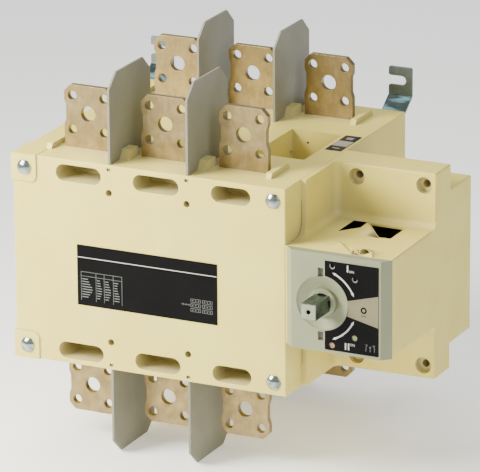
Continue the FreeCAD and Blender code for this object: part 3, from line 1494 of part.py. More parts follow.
def drive():
    """Everything that turns with the spindle or slides with the racks."""
    spindle()
    spindle_collar()
    gear_pin()
    pinion()
    bush("front_bush", "0", "dims.bush_length")
    bush("rear_bush", "dims.tail_back - dims.bush_length", "dims.tail_back - 2.5")
    rack("front_drive_rack", 1, "dims.front_rack_depth")
    rack("rear_drive_rack", -1, "dims.rear_rack_depth")


def check_and_write():
    """Stop on a failed object or a bad solid, then write one STEP file for each sub-part."""
    doc.recompute()
    for feature in doc.Objects:
        if "Invalid" in feature.State or "Error" in feature.State:
            raise RuntimeError(f"{feature.Name} failed: {feature.State}")
    for label, piece in pieces.items():
        if piece.Shape.isNull() or not piece.Shape.isValid() or not piece.Shape.Solids:
            raise RuntimeError(f"{label} has no valid solid")
    os.makedirs("parts", exist_ok=True)
    for label, piece in pieces.items():
        piece.Shape.exportStep(os.path.join("parts", f"{label}.step"))
        print(label, len(piece.Shape.Solids), round(piece.Shape.Volume))


switch_module(front, 1)
switch_module(rear, -1)
spacer_frame()
for row_name in ROWS:
    for side_name in ("left", "right"):
        bracket(side_name, row_name)
foot_screws()
mechanism_housing()
mechanism_back_cover()
back_cover_screws()
front_plate()
labels()
drive()
check_and_write()
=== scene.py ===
"""Manual transfer switch: the finishes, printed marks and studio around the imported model.

Lengths are metres in the model's own frame: +X to the right, +Z up, the front faces -Y, and the origin
is the middle of the mounting panel's plane.  Moulded and metal pieces keep the shape of their CAD nodes
and get the rounded edges that a mould or a press leaves; printed films, inserts and the studio are new.
"""

import json
import logging
import math
from dataclasses import dataclass
from enum import Enum

import bmesh
import bpy
import numpy as np
from mathutils import Matrix, Vector


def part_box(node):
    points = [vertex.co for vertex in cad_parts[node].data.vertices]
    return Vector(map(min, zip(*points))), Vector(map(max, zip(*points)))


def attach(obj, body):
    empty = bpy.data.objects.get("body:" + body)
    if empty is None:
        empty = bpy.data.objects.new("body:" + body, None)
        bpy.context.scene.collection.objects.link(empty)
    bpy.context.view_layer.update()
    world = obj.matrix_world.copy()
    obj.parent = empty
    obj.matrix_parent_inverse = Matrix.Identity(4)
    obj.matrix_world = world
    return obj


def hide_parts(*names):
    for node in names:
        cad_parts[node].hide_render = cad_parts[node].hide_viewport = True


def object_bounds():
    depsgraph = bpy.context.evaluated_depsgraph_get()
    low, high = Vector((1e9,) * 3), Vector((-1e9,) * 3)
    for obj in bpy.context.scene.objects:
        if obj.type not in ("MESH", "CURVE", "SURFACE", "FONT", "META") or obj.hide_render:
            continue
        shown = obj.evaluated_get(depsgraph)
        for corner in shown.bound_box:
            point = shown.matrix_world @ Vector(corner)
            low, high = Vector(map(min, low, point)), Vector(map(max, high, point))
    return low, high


MM = 0.001
INK = 0.06 * MM  # a printed layer's thickness, drawn thick enough to stay clear of its film
TOUCH = 0.02 * MM  # planes nearer than this count as one
BEVEL = "edge_radius"
Piece, Mesh, Tree, Socket = bpy.types.Object, bpy.types.Mesh, bpy.types.NodeTree, bpy.types.NodeSocket
Pair, Triple, Colour = tuple[float, float], tuple[float, float, float], tuple[float, float, float, float]
Outlines = list[np.ndarray]
LOG = logging.getLogger("transfer_switch")

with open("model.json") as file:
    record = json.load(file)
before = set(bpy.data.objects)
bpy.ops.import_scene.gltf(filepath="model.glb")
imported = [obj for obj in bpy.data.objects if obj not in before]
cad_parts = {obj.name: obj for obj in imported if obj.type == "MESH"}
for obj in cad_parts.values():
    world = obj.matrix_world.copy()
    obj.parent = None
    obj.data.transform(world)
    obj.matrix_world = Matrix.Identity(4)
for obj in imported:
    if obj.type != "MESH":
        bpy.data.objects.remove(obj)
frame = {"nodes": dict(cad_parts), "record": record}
CAD_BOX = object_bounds()
ROOT = "switch_frame"
MODULES = ("front", "rear")
ROWS = ("top", "bottom")
POLES = ("left", "centre", "right")
SIDES = ("left", "right")


class Slot(Enum):
    """The record's material slots."""

    CREAM = "cream_moulding"
    COPPER = "copper_bar"
    BARRIER = "barrier_sheet"
    SILVER = "silver_plate"
    STEEL = "spring_steel"
    CARRIAGE = "carriage_moulding"
    ZINC = "zinc_plate"
    DARK_ZINC = "dark_zinc"
    GREY = "grey_moulding"
    FILM = "black_film"
    POSITION = "position_film"
    BRONZE = "bronze"


# ---------------------------------------------------------------- colours and nodes

# A Mix node's two colour inputs and its colour output, by number.
MIX_A, MIX_B, MIX_RESULT = 6, 7, 2

# The part of a noise's or an occlusion's range that is spread over 0 to 1.
CLOUD_RANGE = {"From Min": 0.35, "From Max": 0.65}
SHEEN_RANGE = {"From Min": 0.3, "From Max": 0.7}
STREAK_RANGE = {"From Min": 0.5, "From Max": 0.75}
# The last range gives full painted shade where the surroundings shut a surface in.
CREVICE_RANGE = {"From Min": 0.9, "From Max": 0.2}


def linear(code: str) -> Colour:
    """Turn an sRGB hex colour into linear RGBA.

    Args:
        code: six hex digits, with or without a leading hash.
    Returns:
        The linear colour with alpha 1.
    """
    digits = code.lstrip("#")
    shares = np.array([int(digits[n : n + 2], 16) for n in (0, 2, 4)]) / 255.0
    curve = np.where(shares <= 0.04045, shares / 12.92, ((shares + 0.055) / 1.055) ** 2.4)
    return (*map(float, curve), 1.0)


def add(tree: Tree, kind: str, settings: dict | None = None, links: dict | None = None) -> bpy.types.Node:
    """Add one node to a tree.

    Args:
        tree: the material's node tree.
        kind: the node's type, such as ShaderNodeTexNoise.
        settings: property names, or input names or numbers, and their values.
        links: input names or numbers, and the output sockets that feed them.
    Returns:
        The new node.
    """
    node = tree.nodes.new(kind)
    for name, value in (settings or {}).items():
        if isinstance(name, int) or name in node.inputs:
            node.inputs[name].default_value = value
        else:
            setattr(node, name, value)
    for name, socket in (links or {}).items():
        tree.links.new(socket, node.inputs[name])
    return node


@dataclass(frozen=True)
class Finish:
    """A surface finish: two close colours that drift into each other, a sheen and a fine relief.

    Sizes that end in _mm are real sizes in millimetres; a noise's scale is one over its size in metres.  A
    stretch below 1 draws streaks and grain out along that axis.  A painted shade colour, where there is
    one, is mixed in where the surface is shut in by its surroundings: painted shade in the recesses.
    """

    name: str
    colour: str
    drift_colour: str
    drift_mm: float = 30.0
    roughness: float = 0.5
    roughness_spread: float = 0.06
    metallic: float = 0.0
    ior: float = 1.5
    grain_mm: float = 0.6
    relief_mm: float = 0.01
    grain_strength: float = 0.2
    stretch: Triple = (1.0, 1.0, 1.0)
    streak_mm: float = 0.0
    streak_colour: str = ""
    streak_share: float = 0.0
    specular: float = 0.5
    crevice_colour: str = ""
    crevice_mm: float = 25.0

    def build(self) -> bpy.types.Material:
        """Make the material: Principled BSDF fed by drift, streak and grain noise on Object coordinates, and
        by painted shade where the finish has one.

        Returns:
            The new material, named for its stuff and process, or for the painted light that it carries.
        """
        material = bpy.data.materials.new(self.name)
        material.use_nodes = True
        tree = material.node_tree
        tree.nodes.clear()
        place = add(tree, "ShaderNodeTexCoord").outputs["Object"]
        mapping = add(tree, "ShaderNodeMapping", {"Scale": self.stretch}, {"Vector": place})
        stretched = mapping.outputs["Vector"]
        cloud_size = {"Scale": 1.0 / (self.drift_mm * MM), "Detail": 3.0}
        clouds = add(tree, "ShaderNodeTexNoise", cloud_size, {"Vector": place}).outputs["Fac"]
        grain_size = {"Scale": 1.0 / (self.grain_mm * MM), "Detail": 2.0}
        grain = add(tree, "ShaderNodeTexNoise", grain_size, {"Vector": stretched}).outputs["Fac"]
        smooth, rough = self.roughness - self.roughness_spread, self.roughness + self.roughness_spread
        sheen_range = {**SHEEN_RANGE, "To Min": smooth, "To Max": rough}
        sheen = add(tree, "ShaderNodeMapRange", sheen_range, {"Value": clouds}).outputs["Result"]
        relief_size = {"Strength": self.grain_strength, "Distance": self.relief_mm * MM}
        relief = add(tree, "ShaderNodeBump", relief_size, {"Height": grain}).outputs["Normal"]
        colour = self._colour(tree, clouds, stretched)
        shade = add(
            tree,
            "ShaderNodeBsdfPrincipled",
            {"Metallic": self.metallic, "IOR": self.ior, "Specular IOR Level": self.specular},
            {"Base Color": colour, "Roughness": sheen, "Normal": relief},
        )
        add(tree, "ShaderNodeOutputMaterial", None, {"Surface": shade.outputs["BSDF"]})
        return material

    def _colour(self, tree: Tree, clouds: Socket, stretched: Socket) -> Socket:
        """Lay the drift, then the streaks, then the painted shade of the crevices over the base colour.

        Args:
            tree: the material's node tree.
            clouds: the drift noise.
            stretched: Object coordinates, drawn out along the streaks.
        Returns:
            The socket that carries the finished colour.
        """
        share = add(tree, "ShaderNodeMapRange", CLOUD_RANGE, {"Value": clouds}).outputs["Result"]
        tones = {"data_type": "RGBA", MIX_A: linear(self.colour), MIX_B: linear(self.drift_colour)}
        colour = add(tree, "ShaderNodeMix", tones, {"Factor": share}).outputs[MIX_RESULT]
        if self.streak_share > 0:
            size = {"Scale": 1.0 / (self.streak_mm * MM), "Detail": 4.0}
            streak = add(tree, "ShaderNodeTexNoise", size, {"Vector": stretched}).outputs["Fac"]
            strength = {**STREAK_RANGE, "To Max": self.streak_share}
            share = add(tree, "ShaderNodeMapRange", strength, {"Value": streak}).outputs["Result"]
            tones = {"data_type": "RGBA", MIX_B: linear(self.streak_colour)}
            colour = add(tree, "ShaderNodeMix", tones, {"Factor": share, MIX_A: colour}).outputs[MIX_RESULT]
        # Painted shade: an occlusion pass mixes the painted shade colour in where the surface is shut in.
        if self.crevice_colour:
            reach = {"Distance": self.crevice_mm * MM, "samples": 8}
            openness = add(tree, "ShaderNodeAmbientOcclusion", reach).outputs["AO"]
            share = add(tree, "ShaderNodeMapRange", CREVICE_RANGE, {"Value": openness}).outputs["Result"]
            tones = {"data_type": "RGBA", MIX_B: linear(self.crevice_colour)}
            colour = add(tree, "ShaderNodeMix", tones, {"Factor": share, MIX_A: colour}).outputs[MIX_RESULT]
        return colour


# Glass-filled polyester, hot moulded: an ivory skin with faint flow clouds and a fine matt grain, with
# painted shade that turns it greyer where it is shut in.
IVORY = Finish(
    "ivory_polyester_moulded", "#E1D16A", "#DDCB63", 40, 0.46, 0.05, grain_mm=0.8, relief_mm=0.02,
    crevice_colour="#BCB284", crevice_mm=40.0,
)
# Electrolytic copper bar, pickled and yellow passivated: satin brass gold, clouded where the bath dried.
COPPER = Finish(
    "copper_bar_passivated", "#9F8C5F", "#8C7951", 12, 0.36, 0.06, 0.8, grain_mm=0.35, relief_mm=0.01,
    stretch=(1.0, 1.0, 0.5), streak_mm=4.5, streak_colour="#B5A37D", streak_share=0.4,
)
# Polycarbonate sheet, moulded: warm grey, nearly even, with a soft sheen.
BARRIER = Finish("barrier_polycarbonate_moulded", "#82806F", "#7D7B6A", 35, 0.48, 0.04, grain_mm=0.7)
# Steel, zinc plated and clear passivated: bright, shading into the deep blue grey of the passivation.
ZINC = Finish(
    "steel_zinc_plated", "#A9B2AC", "#6A7672", 5, 0.2, 0.05, 0.9, grain_mm=0.35, relief_mm=0.006,
    streak_mm=2.5, streak_colour="#C9CFC8", streak_share=0.4,
)
# Sheet steel, pressed, then zinc plated and olive passivated: duller than the screws.
ZINC_SHEET = Finish(
    "steel_sheet_zinc_plated", "#697672", "#5E6A66", 16, 0.34, 0.05, 0.45, grain_mm=0.35,
    relief_mm=0.006, streak_mm=9.0, streak_colour="#7F8D88", streak_share=0.3,
)
# The same sheet on its slanting faces as painted reflection: dark for the dark surroundings it mirrors,
# with blue tinted bands across the strip as painted highlights.
ZINC_DRAWN = Finish(
    "steel_sheet_zinc_painted_reflection", "#1E2625", "#2B3432", 8, 0.2, 0.05, 1.0, grain_mm=0.35, relief_mm=0.006,
    stretch=(0.25, 1.0, 1.0), streak_mm=9.0, streak_colour="#5E7F81", streak_share=1.0,
)
# The same plating on a milled square bar: a dull grey green.
DARK_ZINC = Finish(
    "steel_zinc_plated_milled", "#738079", "#626E68", 6, 0.3, 0.06, 1.0, grain_mm=0.4, relief_mm=0.01,
    stretch=(1.0, 0.15, 1.0), streak_mm=2.5, streak_colour="#8F9A93", streak_share=0.3,
)
# A paler, matt steel skin on the spindle's end: painted light, the front face lighter than the bar's sides.
FACED_STEEL = Finish("steel_end_painted_light", "#979C82", "#8E9379", 5, 0.5, 0.05, 0.3, grain_mm=0.3)
# Light grey thermoplastic, injection moulded with a spark-eroded skin: even, with a broad soft highlight.
GREY = Finish("grey_abs_moulded", "#888C6D", "#838768", 30, 0.44, 0.04, grain_mm=0.6, relief_mm=0.015)
# Polyester film printed on its back: an even near-black with a low gloss.
FILM = Finish(
    "polyester_film_black", "#050506", "#080809", 25, 0.5, 0.04, specular=0.08, grain_mm=0.9,
    relief_mm=0.006,
)
# The same film printed warm grey.
FILM_GREY = Finish(
    "polyester_film_grey", "#8B8A84", "#85847E", 25, 0.4, 0.04, grain_mm=0.9, relief_mm=0.006
)
# The same film printed blue black.
FILM_BLUE = Finish("polyester_film_blue_black", "#101019", "#14141E", 25, 0.5, 0.04, specular=0.15)
# Screen-printing inks on the films: dry and even, white, beige, and the grey that thin small print looks.
INK_WHITE = Finish(
    "screen_ink_white", "#C4C3BA", "#BAB9B0", 12, 0.5, 0.04, grain_mm=0.4, relief_mm=0.004
)
INK_BEIGE = Finish(
    "screen_ink_beige", "#777153", "#726C4E", 20, 0.46, 0.04, grain_mm=0.5, relief_mm=0.004
)
INK_DIM = Finish("screen_ink_grey", "#696D69", "#626662", 12, 0.5, 0.04, grain_mm=0.4, relief_mm=0.004)
# Glass-filled nylon, moulded: black with a dry, fibrous skin.
NYLON = Finish(
    "nylon_glass_filled_black", "#2E2E30", "#37373A", 12, 0.55, 0.06, grain_mm=0.5, relief_mm=0.02
)
# Hardened steel, ground and oiled: bright, with fine lines along the grinding.
STEEL = Finish(
    "steel_ground", "#8F9193", "#808386", 12, 0.3, 0.07, 1.0, grain_mm=0.3, stretch=(0.1, 1.0, 1.0),
    streak_mm=1.0, streak_colour="#A5A7A9", streak_share=0.4,
)
# Copper, silver plated: a soft white metal with the yellow of old silver.
SILVER = Finish("copper_silver_plated", "#CFCDC4", "#C2BEB0", 10, 0.28, 0.05, 1.0, grain_mm=0.3)
# Sintered bronze: brown gold and porous.
BRONZE = Finish(
    "bronze_sintered", "#A17C4A", "#8C6A3E", 3, 0.42, 0.08, 1.0, grain_mm=0.25, relief_mm=0.02
)
# Dull olive grey blocks deep in the two small windows: painted shade for the shade inside them.
SHUTTER = Finish("window_painted_shade", "#77796A", "#707263", 6, 0.6, 0.05, grain_mm=0.5)
# Acrylic pilot inserts behind the small holes, moulded in dusty rose and lime.
PILOT_ROSE = Finish("pilot_acrylic_rose", "#A87C5E", "#A07557", 4, 0.5, 0.05, grain_mm=0.4)
PILOT_LIME = Finish("pilot_acrylic_lime", "#8E9160", "#878A5A", 4, 0.5, 0.05, grain_mm=0.4)
# Matt seamless paper under and behind the product.
PAPER = Finish("paper_seamless_white", "#F7F7F5", "#F5F5F3", 200, 0.9, 0.02, grain_mm=2.0)


class Palette:
    """Builds each finish once and hands it out."""

    SLOTS = {
        Slot.CREAM: IVORY,
        Slot.COPPER: COPPER,
        Slot.BARRIER: BARRIER,
        Slot.SILVER: SILVER,
        Slot.STEEL: STEEL,
        Slot.CARRIAGE: NYLON,
        Slot.ZINC: ZINC,
        Slot.DARK_ZINC: DARK_ZINC,
        Slot.GREY: GREY,
        Slot.FILM: FILM,
        Slot.POSITION: FILM_BLUE,
        Slot.BRONZE: BRONZE,
    }

    def __init__(self) -> None:
        """Start with no material built."""
        self._built: dict[str, bpy.types.Material] = {}

    def of(self, finish: Finish) -> bpy.types.Material:
        """Hand out the material of a finish, built on first use.

        Args:
            finish: the finish that is wanted.
        Returns:
            Its one material.
        """
        if finish.name not in self._built:
            self._built[finish.name] = finish.build()
        return self._built[finish.name]

    def dress(self, piece: Piece, finish: Finish) -> None:
        """Give a piece one finish all over."""
        piece.data.materials.clear()
        piece.data.materials.append(self.of(finish))

    def dress_nodes(self) -> None:
        """Give every CAD node the finish of its slot in the record."""
        for entry in frame["record"]["subparts"]:
            node = frame["nodes"][entry["node"]]
            material = self.of(self.SLOTS[Slot(entry["material_slot"])])
            for number in range(len(node.material_slots)):
                node.material_slots[number].material = material


PALETTE = Palette()


# ---------------------------------------------------------------- building pieces


def new_object(name: str, mesh: Mesh) -> Piece:
    """Put a mesh into the scene as an object at the origin.

    Args:
        name: the object's name.
        mesh: its mesh, already in its place.
    Returns:
        The new object.
    """
    piece = bpy.data.objects.new(name, mesh)
    bpy.context.scene.collection.objects.link(piece)
    return piece


def settle(piece: Piece, body: str, slot: Slot, *nodes: str) -> Piece:
    """Make a piece ride on a body and stand for CAD nodes.

    Args:
        piece: the finished piece.
        body: the CAD body that carries it.
        slot: its material slot in the record; not used.
        nodes: the CAD nodes that it is shown instead of, if any.
    Returns:
        The same piece.
    """
    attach(piece, body)
    if nodes:
        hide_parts(*nodes)
    return piece


def body_of(node: str) -> str:
    """The CAD body that a node belongs to."""
    bodies = frame["record"]["behaviour"]["bodies"]
    return next(body for body, members in bodies.items() if node in members)


def slot_of(node: str) -> Slot:
    """The record's slot of a node."""
    entry = next(e for e in frame["record"]["subparts"] if e["node"] == node)
    return Slot(entry["material_slot"])


def edge_ends(mesh: Mesh) -> np.ndarray:
    """Read the end points of every edge.

    Args:
        mesh: the mesh to read.
    Returns:
        An array of shape (edges, 2, 3) in metres.
    """
    ends = np.empty(len(mesh.edges) * 2, dtype=np.int32)
    mesh.edges.foreach_get("vertices", ends)
    places = np.empty(len(mesh.vertices) * 3)
    mesh.vertices.foreach_get("co", places)
    return places.reshape(-1, 3)[ends.reshape(-1, 2)]


def round_chosen(piece: Piece, chosen: np.ndarray) -> None:
    """Limit a piece's rounding to chosen sharp edges, each at its full radius.

    Args:
        piece: a piece from rounded_node.
        chosen: one truth value for each edge of its mesh.
    """
    mesh = piece.data
    sharp = np.empty(len(mesh.edges), dtype=bool)
    mesh.attributes["sharp_edge"].data.foreach_get("value", sharp)
    weights = mesh.attributes.new("bevel_weight_edge", "FLOAT", "EDGE")
    weights.data.foreach_set("value", (sharp & chosen).astype(np.float32))
    bevel = piece.modifiers[BEVEL]
    bevel.limit_method = "WEIGHT"
    bevel.use_clamp_overlap = False


def rounded_node(node: str, radius: float, segments: int = 2, angle: float = 40.0) -> Piece:
    """Copy a CAD node, merge its loose triangles and round its edges; the copy stands for the node.

    Args:
        node: the CAD node's name.
        radius: the edge radius in metres.
        segments: how many facets make each rounded edge.
        angle: edges that turn by less than this many degrees are left alone.
    Returns:
        The rounded piece.
    """
    same_point = 0.002 * MM
    same_plane = math.radians(0.12)
    mesh = frame["nodes"][node].data.copy()
    mesh.name = f"{node}_rounded"
    if "custom_normal" in mesh.attributes:
        mesh.attributes.remove(mesh.attributes["custom_normal"])
    work = bmesh.new()
    work.from_mesh(mesh)
    bmesh.ops.remove_doubles(work, verts=work.verts, dist=same_point)
    bmesh.ops.dissolve_limit(work, angle_limit=same_plane, verts=work.verts, edges=work.edges)
    work.to_mesh(mesh)
    work.free()
    mesh.shade_smooth()
    mesh.set_sharp_from_angle(angle=math.radians(angle))
    piece = new_object(f"{node}_body", mesh)
    bevel = piece.modifiers.new(BEVEL, "BEVEL")
    bevel.width = radius
    bevel.segments = segments
    bevel.limit_method = "ANGLE"
    bevel.angle_limit = math.radians(angle)
    bevel.use_clamp_overlap = True
    bevel.harden_normals = True
    bevel.miter_outer = "MITER_ARC"
    settle(piece, body_of(node), slot_of(node), node)
    PALETTE.dress(piece, Palette.SLOTS[slot_of(node)])
    return piece


def slab_mesh(name: str, outlines: Outlines, near: float, far: float) -> Mesh:
    """Flat closed slabs: each outline in the X-Z plane carried straight from near to far along Y.

    Args:
        name: the mesh's name.
        outlines: arrays of (x, z) corners, counter-clockwise as seen from the front.
        near: the Y of the front face.
        far: the Y of the back face.
    Returns:
        One mesh that holds every slab.
    """
    points, faces, start = [], [], 0
    for outline in outlines:
        count = len(outline)
        front = np.column_stack([outline[:, 0], np.full(count, near), outline[:, 1]])
        back = np.column_stack([outline[:, 0], np.full(count, far), outline[:, 1]])
        points += [front, back]
        ring = np.arange(count)
        after = np.roll(ring, -1)
        faces.append(tuple(start + ring))
        faces.append(tuple(start + count + ring[::-1]))
        sides = np.column_stack([ring, ring + count, after + count, after]) + start
        faces += [tuple(side) for side in sides.tolist()]
        start += 2 * count
    mesh = bpy.data.meshes.new(name)
    mesh.from_pydata(np.concatenate(points).tolist(), [], [tuple(map(int, f)) for f in faces])
    mesh.validate()
    mesh.update()
    return mesh


def rectangle(left: float, bottom: float, right: float, top: float) -> np.ndarray:
    """The four corners of an upright rectangle, counter-clockwise."""
    return np.array([(left, bottom), (right, bottom), (right, top), (left, top)])


def arc(centre: Pair, radius: float, start: float, end: float, steps: int) -> np.ndarray:
    """Points on an arc: (r cos a, r sin a) about the centre, at equal steps of the angle a.

    Args:
        centre: the arc's centre.
        radius: its radius r in metres.
        start: the first angle in degrees.
        end: the last angle in degrees.
        steps: how many points there are.
    Returns:
        An array of shape (steps, 2).
    """
    angles = np.radians(np.linspace(start, end, steps))
    return np.column_stack([np.cos(angles), np.sin(angles)]) * radius + np.array(centre)


def arc_band(
    centre: Pair, inner: float, outer: float, start: float, end: float, steps: int = 24
) -> np.ndarray:
    """A band between two radii: out along the outer arc and back along the inner one.

    Args:
        centre: the arcs' centre.
        inner: the inner radius in metres.
        outer: the outer radius in metres.
        start: the first angle in degrees.
        end: the last angle in degrees.
        steps: how many points each arc has.
    Returns:
        The band's outline, of shape (2 * steps, 2).
    """
    out, back = (arc(centre, radius, start, end, steps) for radius in (outer, inner))
    return np.concatenate([out, back[::-1]])


def ring_bands(centre: Pair, inner: float, outer: float) -> Outlines:
    """A full ring as two half bands."""
    return [arc_band(centre, inner, outer, start, start + 180.0) for start in (0.0, 180.0)]


def stroke(start: Pair, end: Pair, width: float) -> np.ndarray:
    """A straight stroke: both ends pushed out by half the width along the normal of the line.

    Args:
        start: the (x, z) of one end.
        end: the (x, z) of the other end.
        width: the stroke's width in metres.
    Returns:
        Its four corners.
    """
    a, b = np.asarray(start), np.asarray(end)
    along = (b - a) / np.linalg.norm(b - a)
    across = np.array([along[1], -along[0]]) * width / 2
    return np.array([a + across, b + across, b - across, a - across])


def words_mesh(text: str, centre: Pair, height: float, near: float, far: float) -> Mesh:
    """Generic lettering as a closed mesh on an upright plane.

    Args:
        text: plain letters or numbers.
        centre: the (x, z) of the middle of the text.
        height: the letters' cap height in metres.
        near: the Y of the front of the ink.
        far: the Y of its back.
    Returns:
        The mesh, already in its place.
    """
    cap_share = 0.7
    curve = bpy.data.curves.new("lettering", "FONT")
    curve.body = text
    curve.align_x = "CENTER"
    curve.align_y = "CENTER"
    curve.size = height / cap_share
    curve.extrude = (far - near) / 2
    curve.resolution_u = 4
    holder = bpy.data.objects.new("lettering", curve)
    bpy.context.scene.collection.objects.link(holder)
    bpy.context.view_layer.update()
    mesh = bpy.data.meshes.new_from_object(holder.evaluated_get(bpy.context.evaluated_depsgraph_get()))
    bpy.data.objects.remove(holder)
    turn = Matrix.Rotation(math.radians(90), 4, "X")
    mesh.transform(Matrix.Translation(Vector((centre[0], (near + far) / 2, centre[1]))) @ turn)
    return mesh


def join_meshes(name: str, meshes: list[Mesh]) -> Mesh:
    """Put one or more meshes into one and close the seams between their faces.

    Args:
        name: the new mesh's name.
        meshes: the meshes that go into it.
    Returns:
        The joined mesh, with its doubled points merged.
    """
    same_point = 0.0001 * MM
    work = bmesh.new()
    for mesh in meshes:
        work.from_mesh(mesh)
    bmesh.ops.remove_doubles(work, verts=work.verts, dist=same_point)
    joined = bpy.data.meshes.new(name)
    work.to_mesh(joined)
    work.free()
    return joined


def printed(name: str, finish: Finish, mesh: Mesh) -> Piece:
    """Make a mesh one print, in one ink, that rides on the frame.

    Args:
        name: the print's name.
        finish: its ink.
        mesh: its mesh, already in its place.
    Returns:
        The finished piece.
    """
    piece = new_object(name, mesh)
    PALETTE.dress(piece, finish)
    return settle(piece, ROOT, Slot.FILM)


# ---------------------------------------------------------------- the switch


@dataclass
class Mouldings:
    """The ivory mouldings, with the radii that their mould leaves on the outer edges.

    The body radius stays below the thin wall between a barrier's groove and the front of the cover.
    """

    body_radius: float = 1.1 * MM
    housing_radius: float = 1.8 * MM
    facets: int = 3
    joint_margin: float = 8.0 * MM
    long_edge: float = 12.0 * MM

    def build(self) -> list[Piece]:
        """Round the switch bodies, then the mechanism's two shells.

        Returns:
            The five switch mouldings and the two shells.
        """
        pieces = []
        for node in ("spacer_frame", *(f"{m}_switch_{part}" for m in MODULES for part in ("cover", "base"))):
            piece = rounded_node(node, self.body_radius, self.facets)
            round_chosen(piece, self._outer_rims(piece.data))
            pieces.append(piece)
        for node in ("mechanism_housing", "mechanism_back_cover"):
            piece = rounded_node(node, self.housing_radius, self.facets)
            round_chosen(piece, self._clear_edges(piece.data, *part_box(node)))
            pieces.append(piece)
        return pieces

    @staticmethod
    def _outer_rims(mesh: Mesh) -> np.ndarray:
        """Pick a switch body's four long corners and, on the front cover, the rim of its face.

        Args:
            mesh: the body's merged mesh.
        Returns:
            One truth value for each edge: along Y with both |x| and |z| outermost, or on the face with one.
        """
        ends = edge_ends(mesh)
        low, high = (np.array(corner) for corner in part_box("spacer_frame"))
        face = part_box("front_label")[1].y
        near = (np.abs(ends - low) < TOUCH) | (np.abs(ends - high) < TOUCH)
        side, level = near[:, :, 0].all(axis=1), near[:, :, 2].all(axis=1)
        front = (np.abs(ends[:, :, 1] - face) < TOUCH).all(axis=1)
        along_depth = (np.abs(ends[:, 1] - ends[:, 0])[:, (0, 2)] < TOUCH).all(axis=1)
        return (side & level & along_depth) | (front & (side | level))

    def _clear_edges(self, mesh: Mesh, low: Vector, high: Vector) -> np.ndarray:
        """Pick a shell's long edges that keep clear of the joints with its neighbours.

        Args:
            mesh: the shell's merged mesh.
            low: the low corner of its box.
            high: the high corner of its box.
        Returns:
            One truth value for each edge: |b - a| > long_edge, and away from the joint planes.
        """
        ends = edge_ends(mesh)
        long = np.linalg.norm(ends[:, 1] - ends[:, 0], axis=1) > self.long_edge
        clear = (ends[:, :, 0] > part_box("spacer_frame")[1].x + self.joint_margin).any(axis=1)
        joint = (np.abs(ends[:, :, 1, None] - np.array([low.y, high.y])) < TOUCH).all(axis=1).any(axis=1)
        return long & clear & ~joint


@dataclass
class Metalwork:
    """Terminals, brackets, screws and spindle, with the small radii of pressing, tumbling and milling."""

    terminal_radius: float = 0.6 * MM
    bracket_radius: float = 0.4 * MM
    bracket_angle: float = 20.0
    drawn_tilt: float = 0.3
    screw_radius: float = 0.8 * MM
    screw_facets: int = 3
    dome_angle: float = 25.0
    spindle_radius: float = 0.5 * MM
    faced_half: float = 6.8 * MM
    centre_hole: float = 2.15 * MM
    faced_lift: float = 0.04 * MM

    def build(self) -> list[Piece]:
        """Round the edges of every outside metal piece and lay a paler skin of painted light on the spindle's
        end.

        Returns:
            The terminals and screws of both modules, the brackets, the other screws and the spindle.
        """
        pieces = []
        for module in MODULES:
            terminals = [f"{module}_terminal_{row}_{pole}" for row in ROWS for pole in POLES]
            pieces += [rounded_node(node, self.terminal_radius) for node in terminals]
            screws = f"{module}_cover_screws"
            pieces.append(rounded_node(screws, self.screw_radius, self.screw_facets, self.dome_angle))
        pieces += [self._bracket(f"bracket_{row}_{side}") for row in ROWS for side in SIDES]
        for node in ("bracket_screws", "back_cover_screws"):
            pieces.append(rounded_node(node, self.screw_radius, self.screw_facets))
        return [*pieces, rounded_node("spindle", self.spindle_radius), self._spindle_end()]

    def _bracket(self, node: str) -> Piece:
        """Round a bracket and dress its slanting faces, where |n_y| and |n_z| are both large, with painted
        reflection.

        Args:
            node: the bracket's CAD node.
        Returns:
            The rounded bracket.
        """
        strip = rounded_node(node, self.bracket_radius, angle=self.bracket_angle)
        PALETTE.dress(strip, ZINC_SHEET)
        # The slanting faces take the painted reflection: dark, with painted highlight bands.
        strip.data.materials.append(PALETTE.of(ZINC_DRAWN))
        normals = np.empty(len(strip.data.polygons) * 3)
        strip.data.polygons.foreach_get("normal", normals)
        slanting = (np.abs(normals.reshape(-1, 3)[:, 1:]) > self.drawn_tilt).all(axis=1)
        strip.data.polygons.foreach_set("material_index", slanting.astype(np.int32))
        return strip

    def _spindle_end(self) -> Piece:
        """Lay painted light on the end of the square bar: a square with a round centre hole, made as two
        halves.

        Returns:
            The end skin of painted light, a thin skin on the bar.
        """
        low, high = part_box("spindle")
        half = self.faced_half
        hole = arc((0.0, 0.0), self.centre_hole, 90.0, -90.0, 17)
        right = np.concatenate([[(0.0, -half), (half, -half), (half, half), (0.0, half)], hole])
        centre = np.array([(low.x + high.x) / 2, (low.z + high.z) / 2])
        halves, name = [right + centre, -right + centre], "spindle_end_painted_light"
        piece = new_object(name, slab_mesh(name, halves, low.y - self.faced_lift, low.y + TOUCH))
        PALETTE.dress(piece, FACED_STEEL)
        return settle(piece, "spindle_assembly", Slot.DARK_ZINC)


@dataclass
class Barriers:
    """The phase barriers between the terminals."""

    edge_radius: float = 0.5 * MM

    def build(self) -> list[Piece]:
        """Round the edges of all eight sheets and return them."""
        sheets = [f"{module}_barrier_{row}_{side}" for module in MODULES for row in ROWS for side in SIDES]
        return [rounded_node(sheet, self.edge_radius) for sheet in sheets]


# ---------------------------------------------------------------- printed films


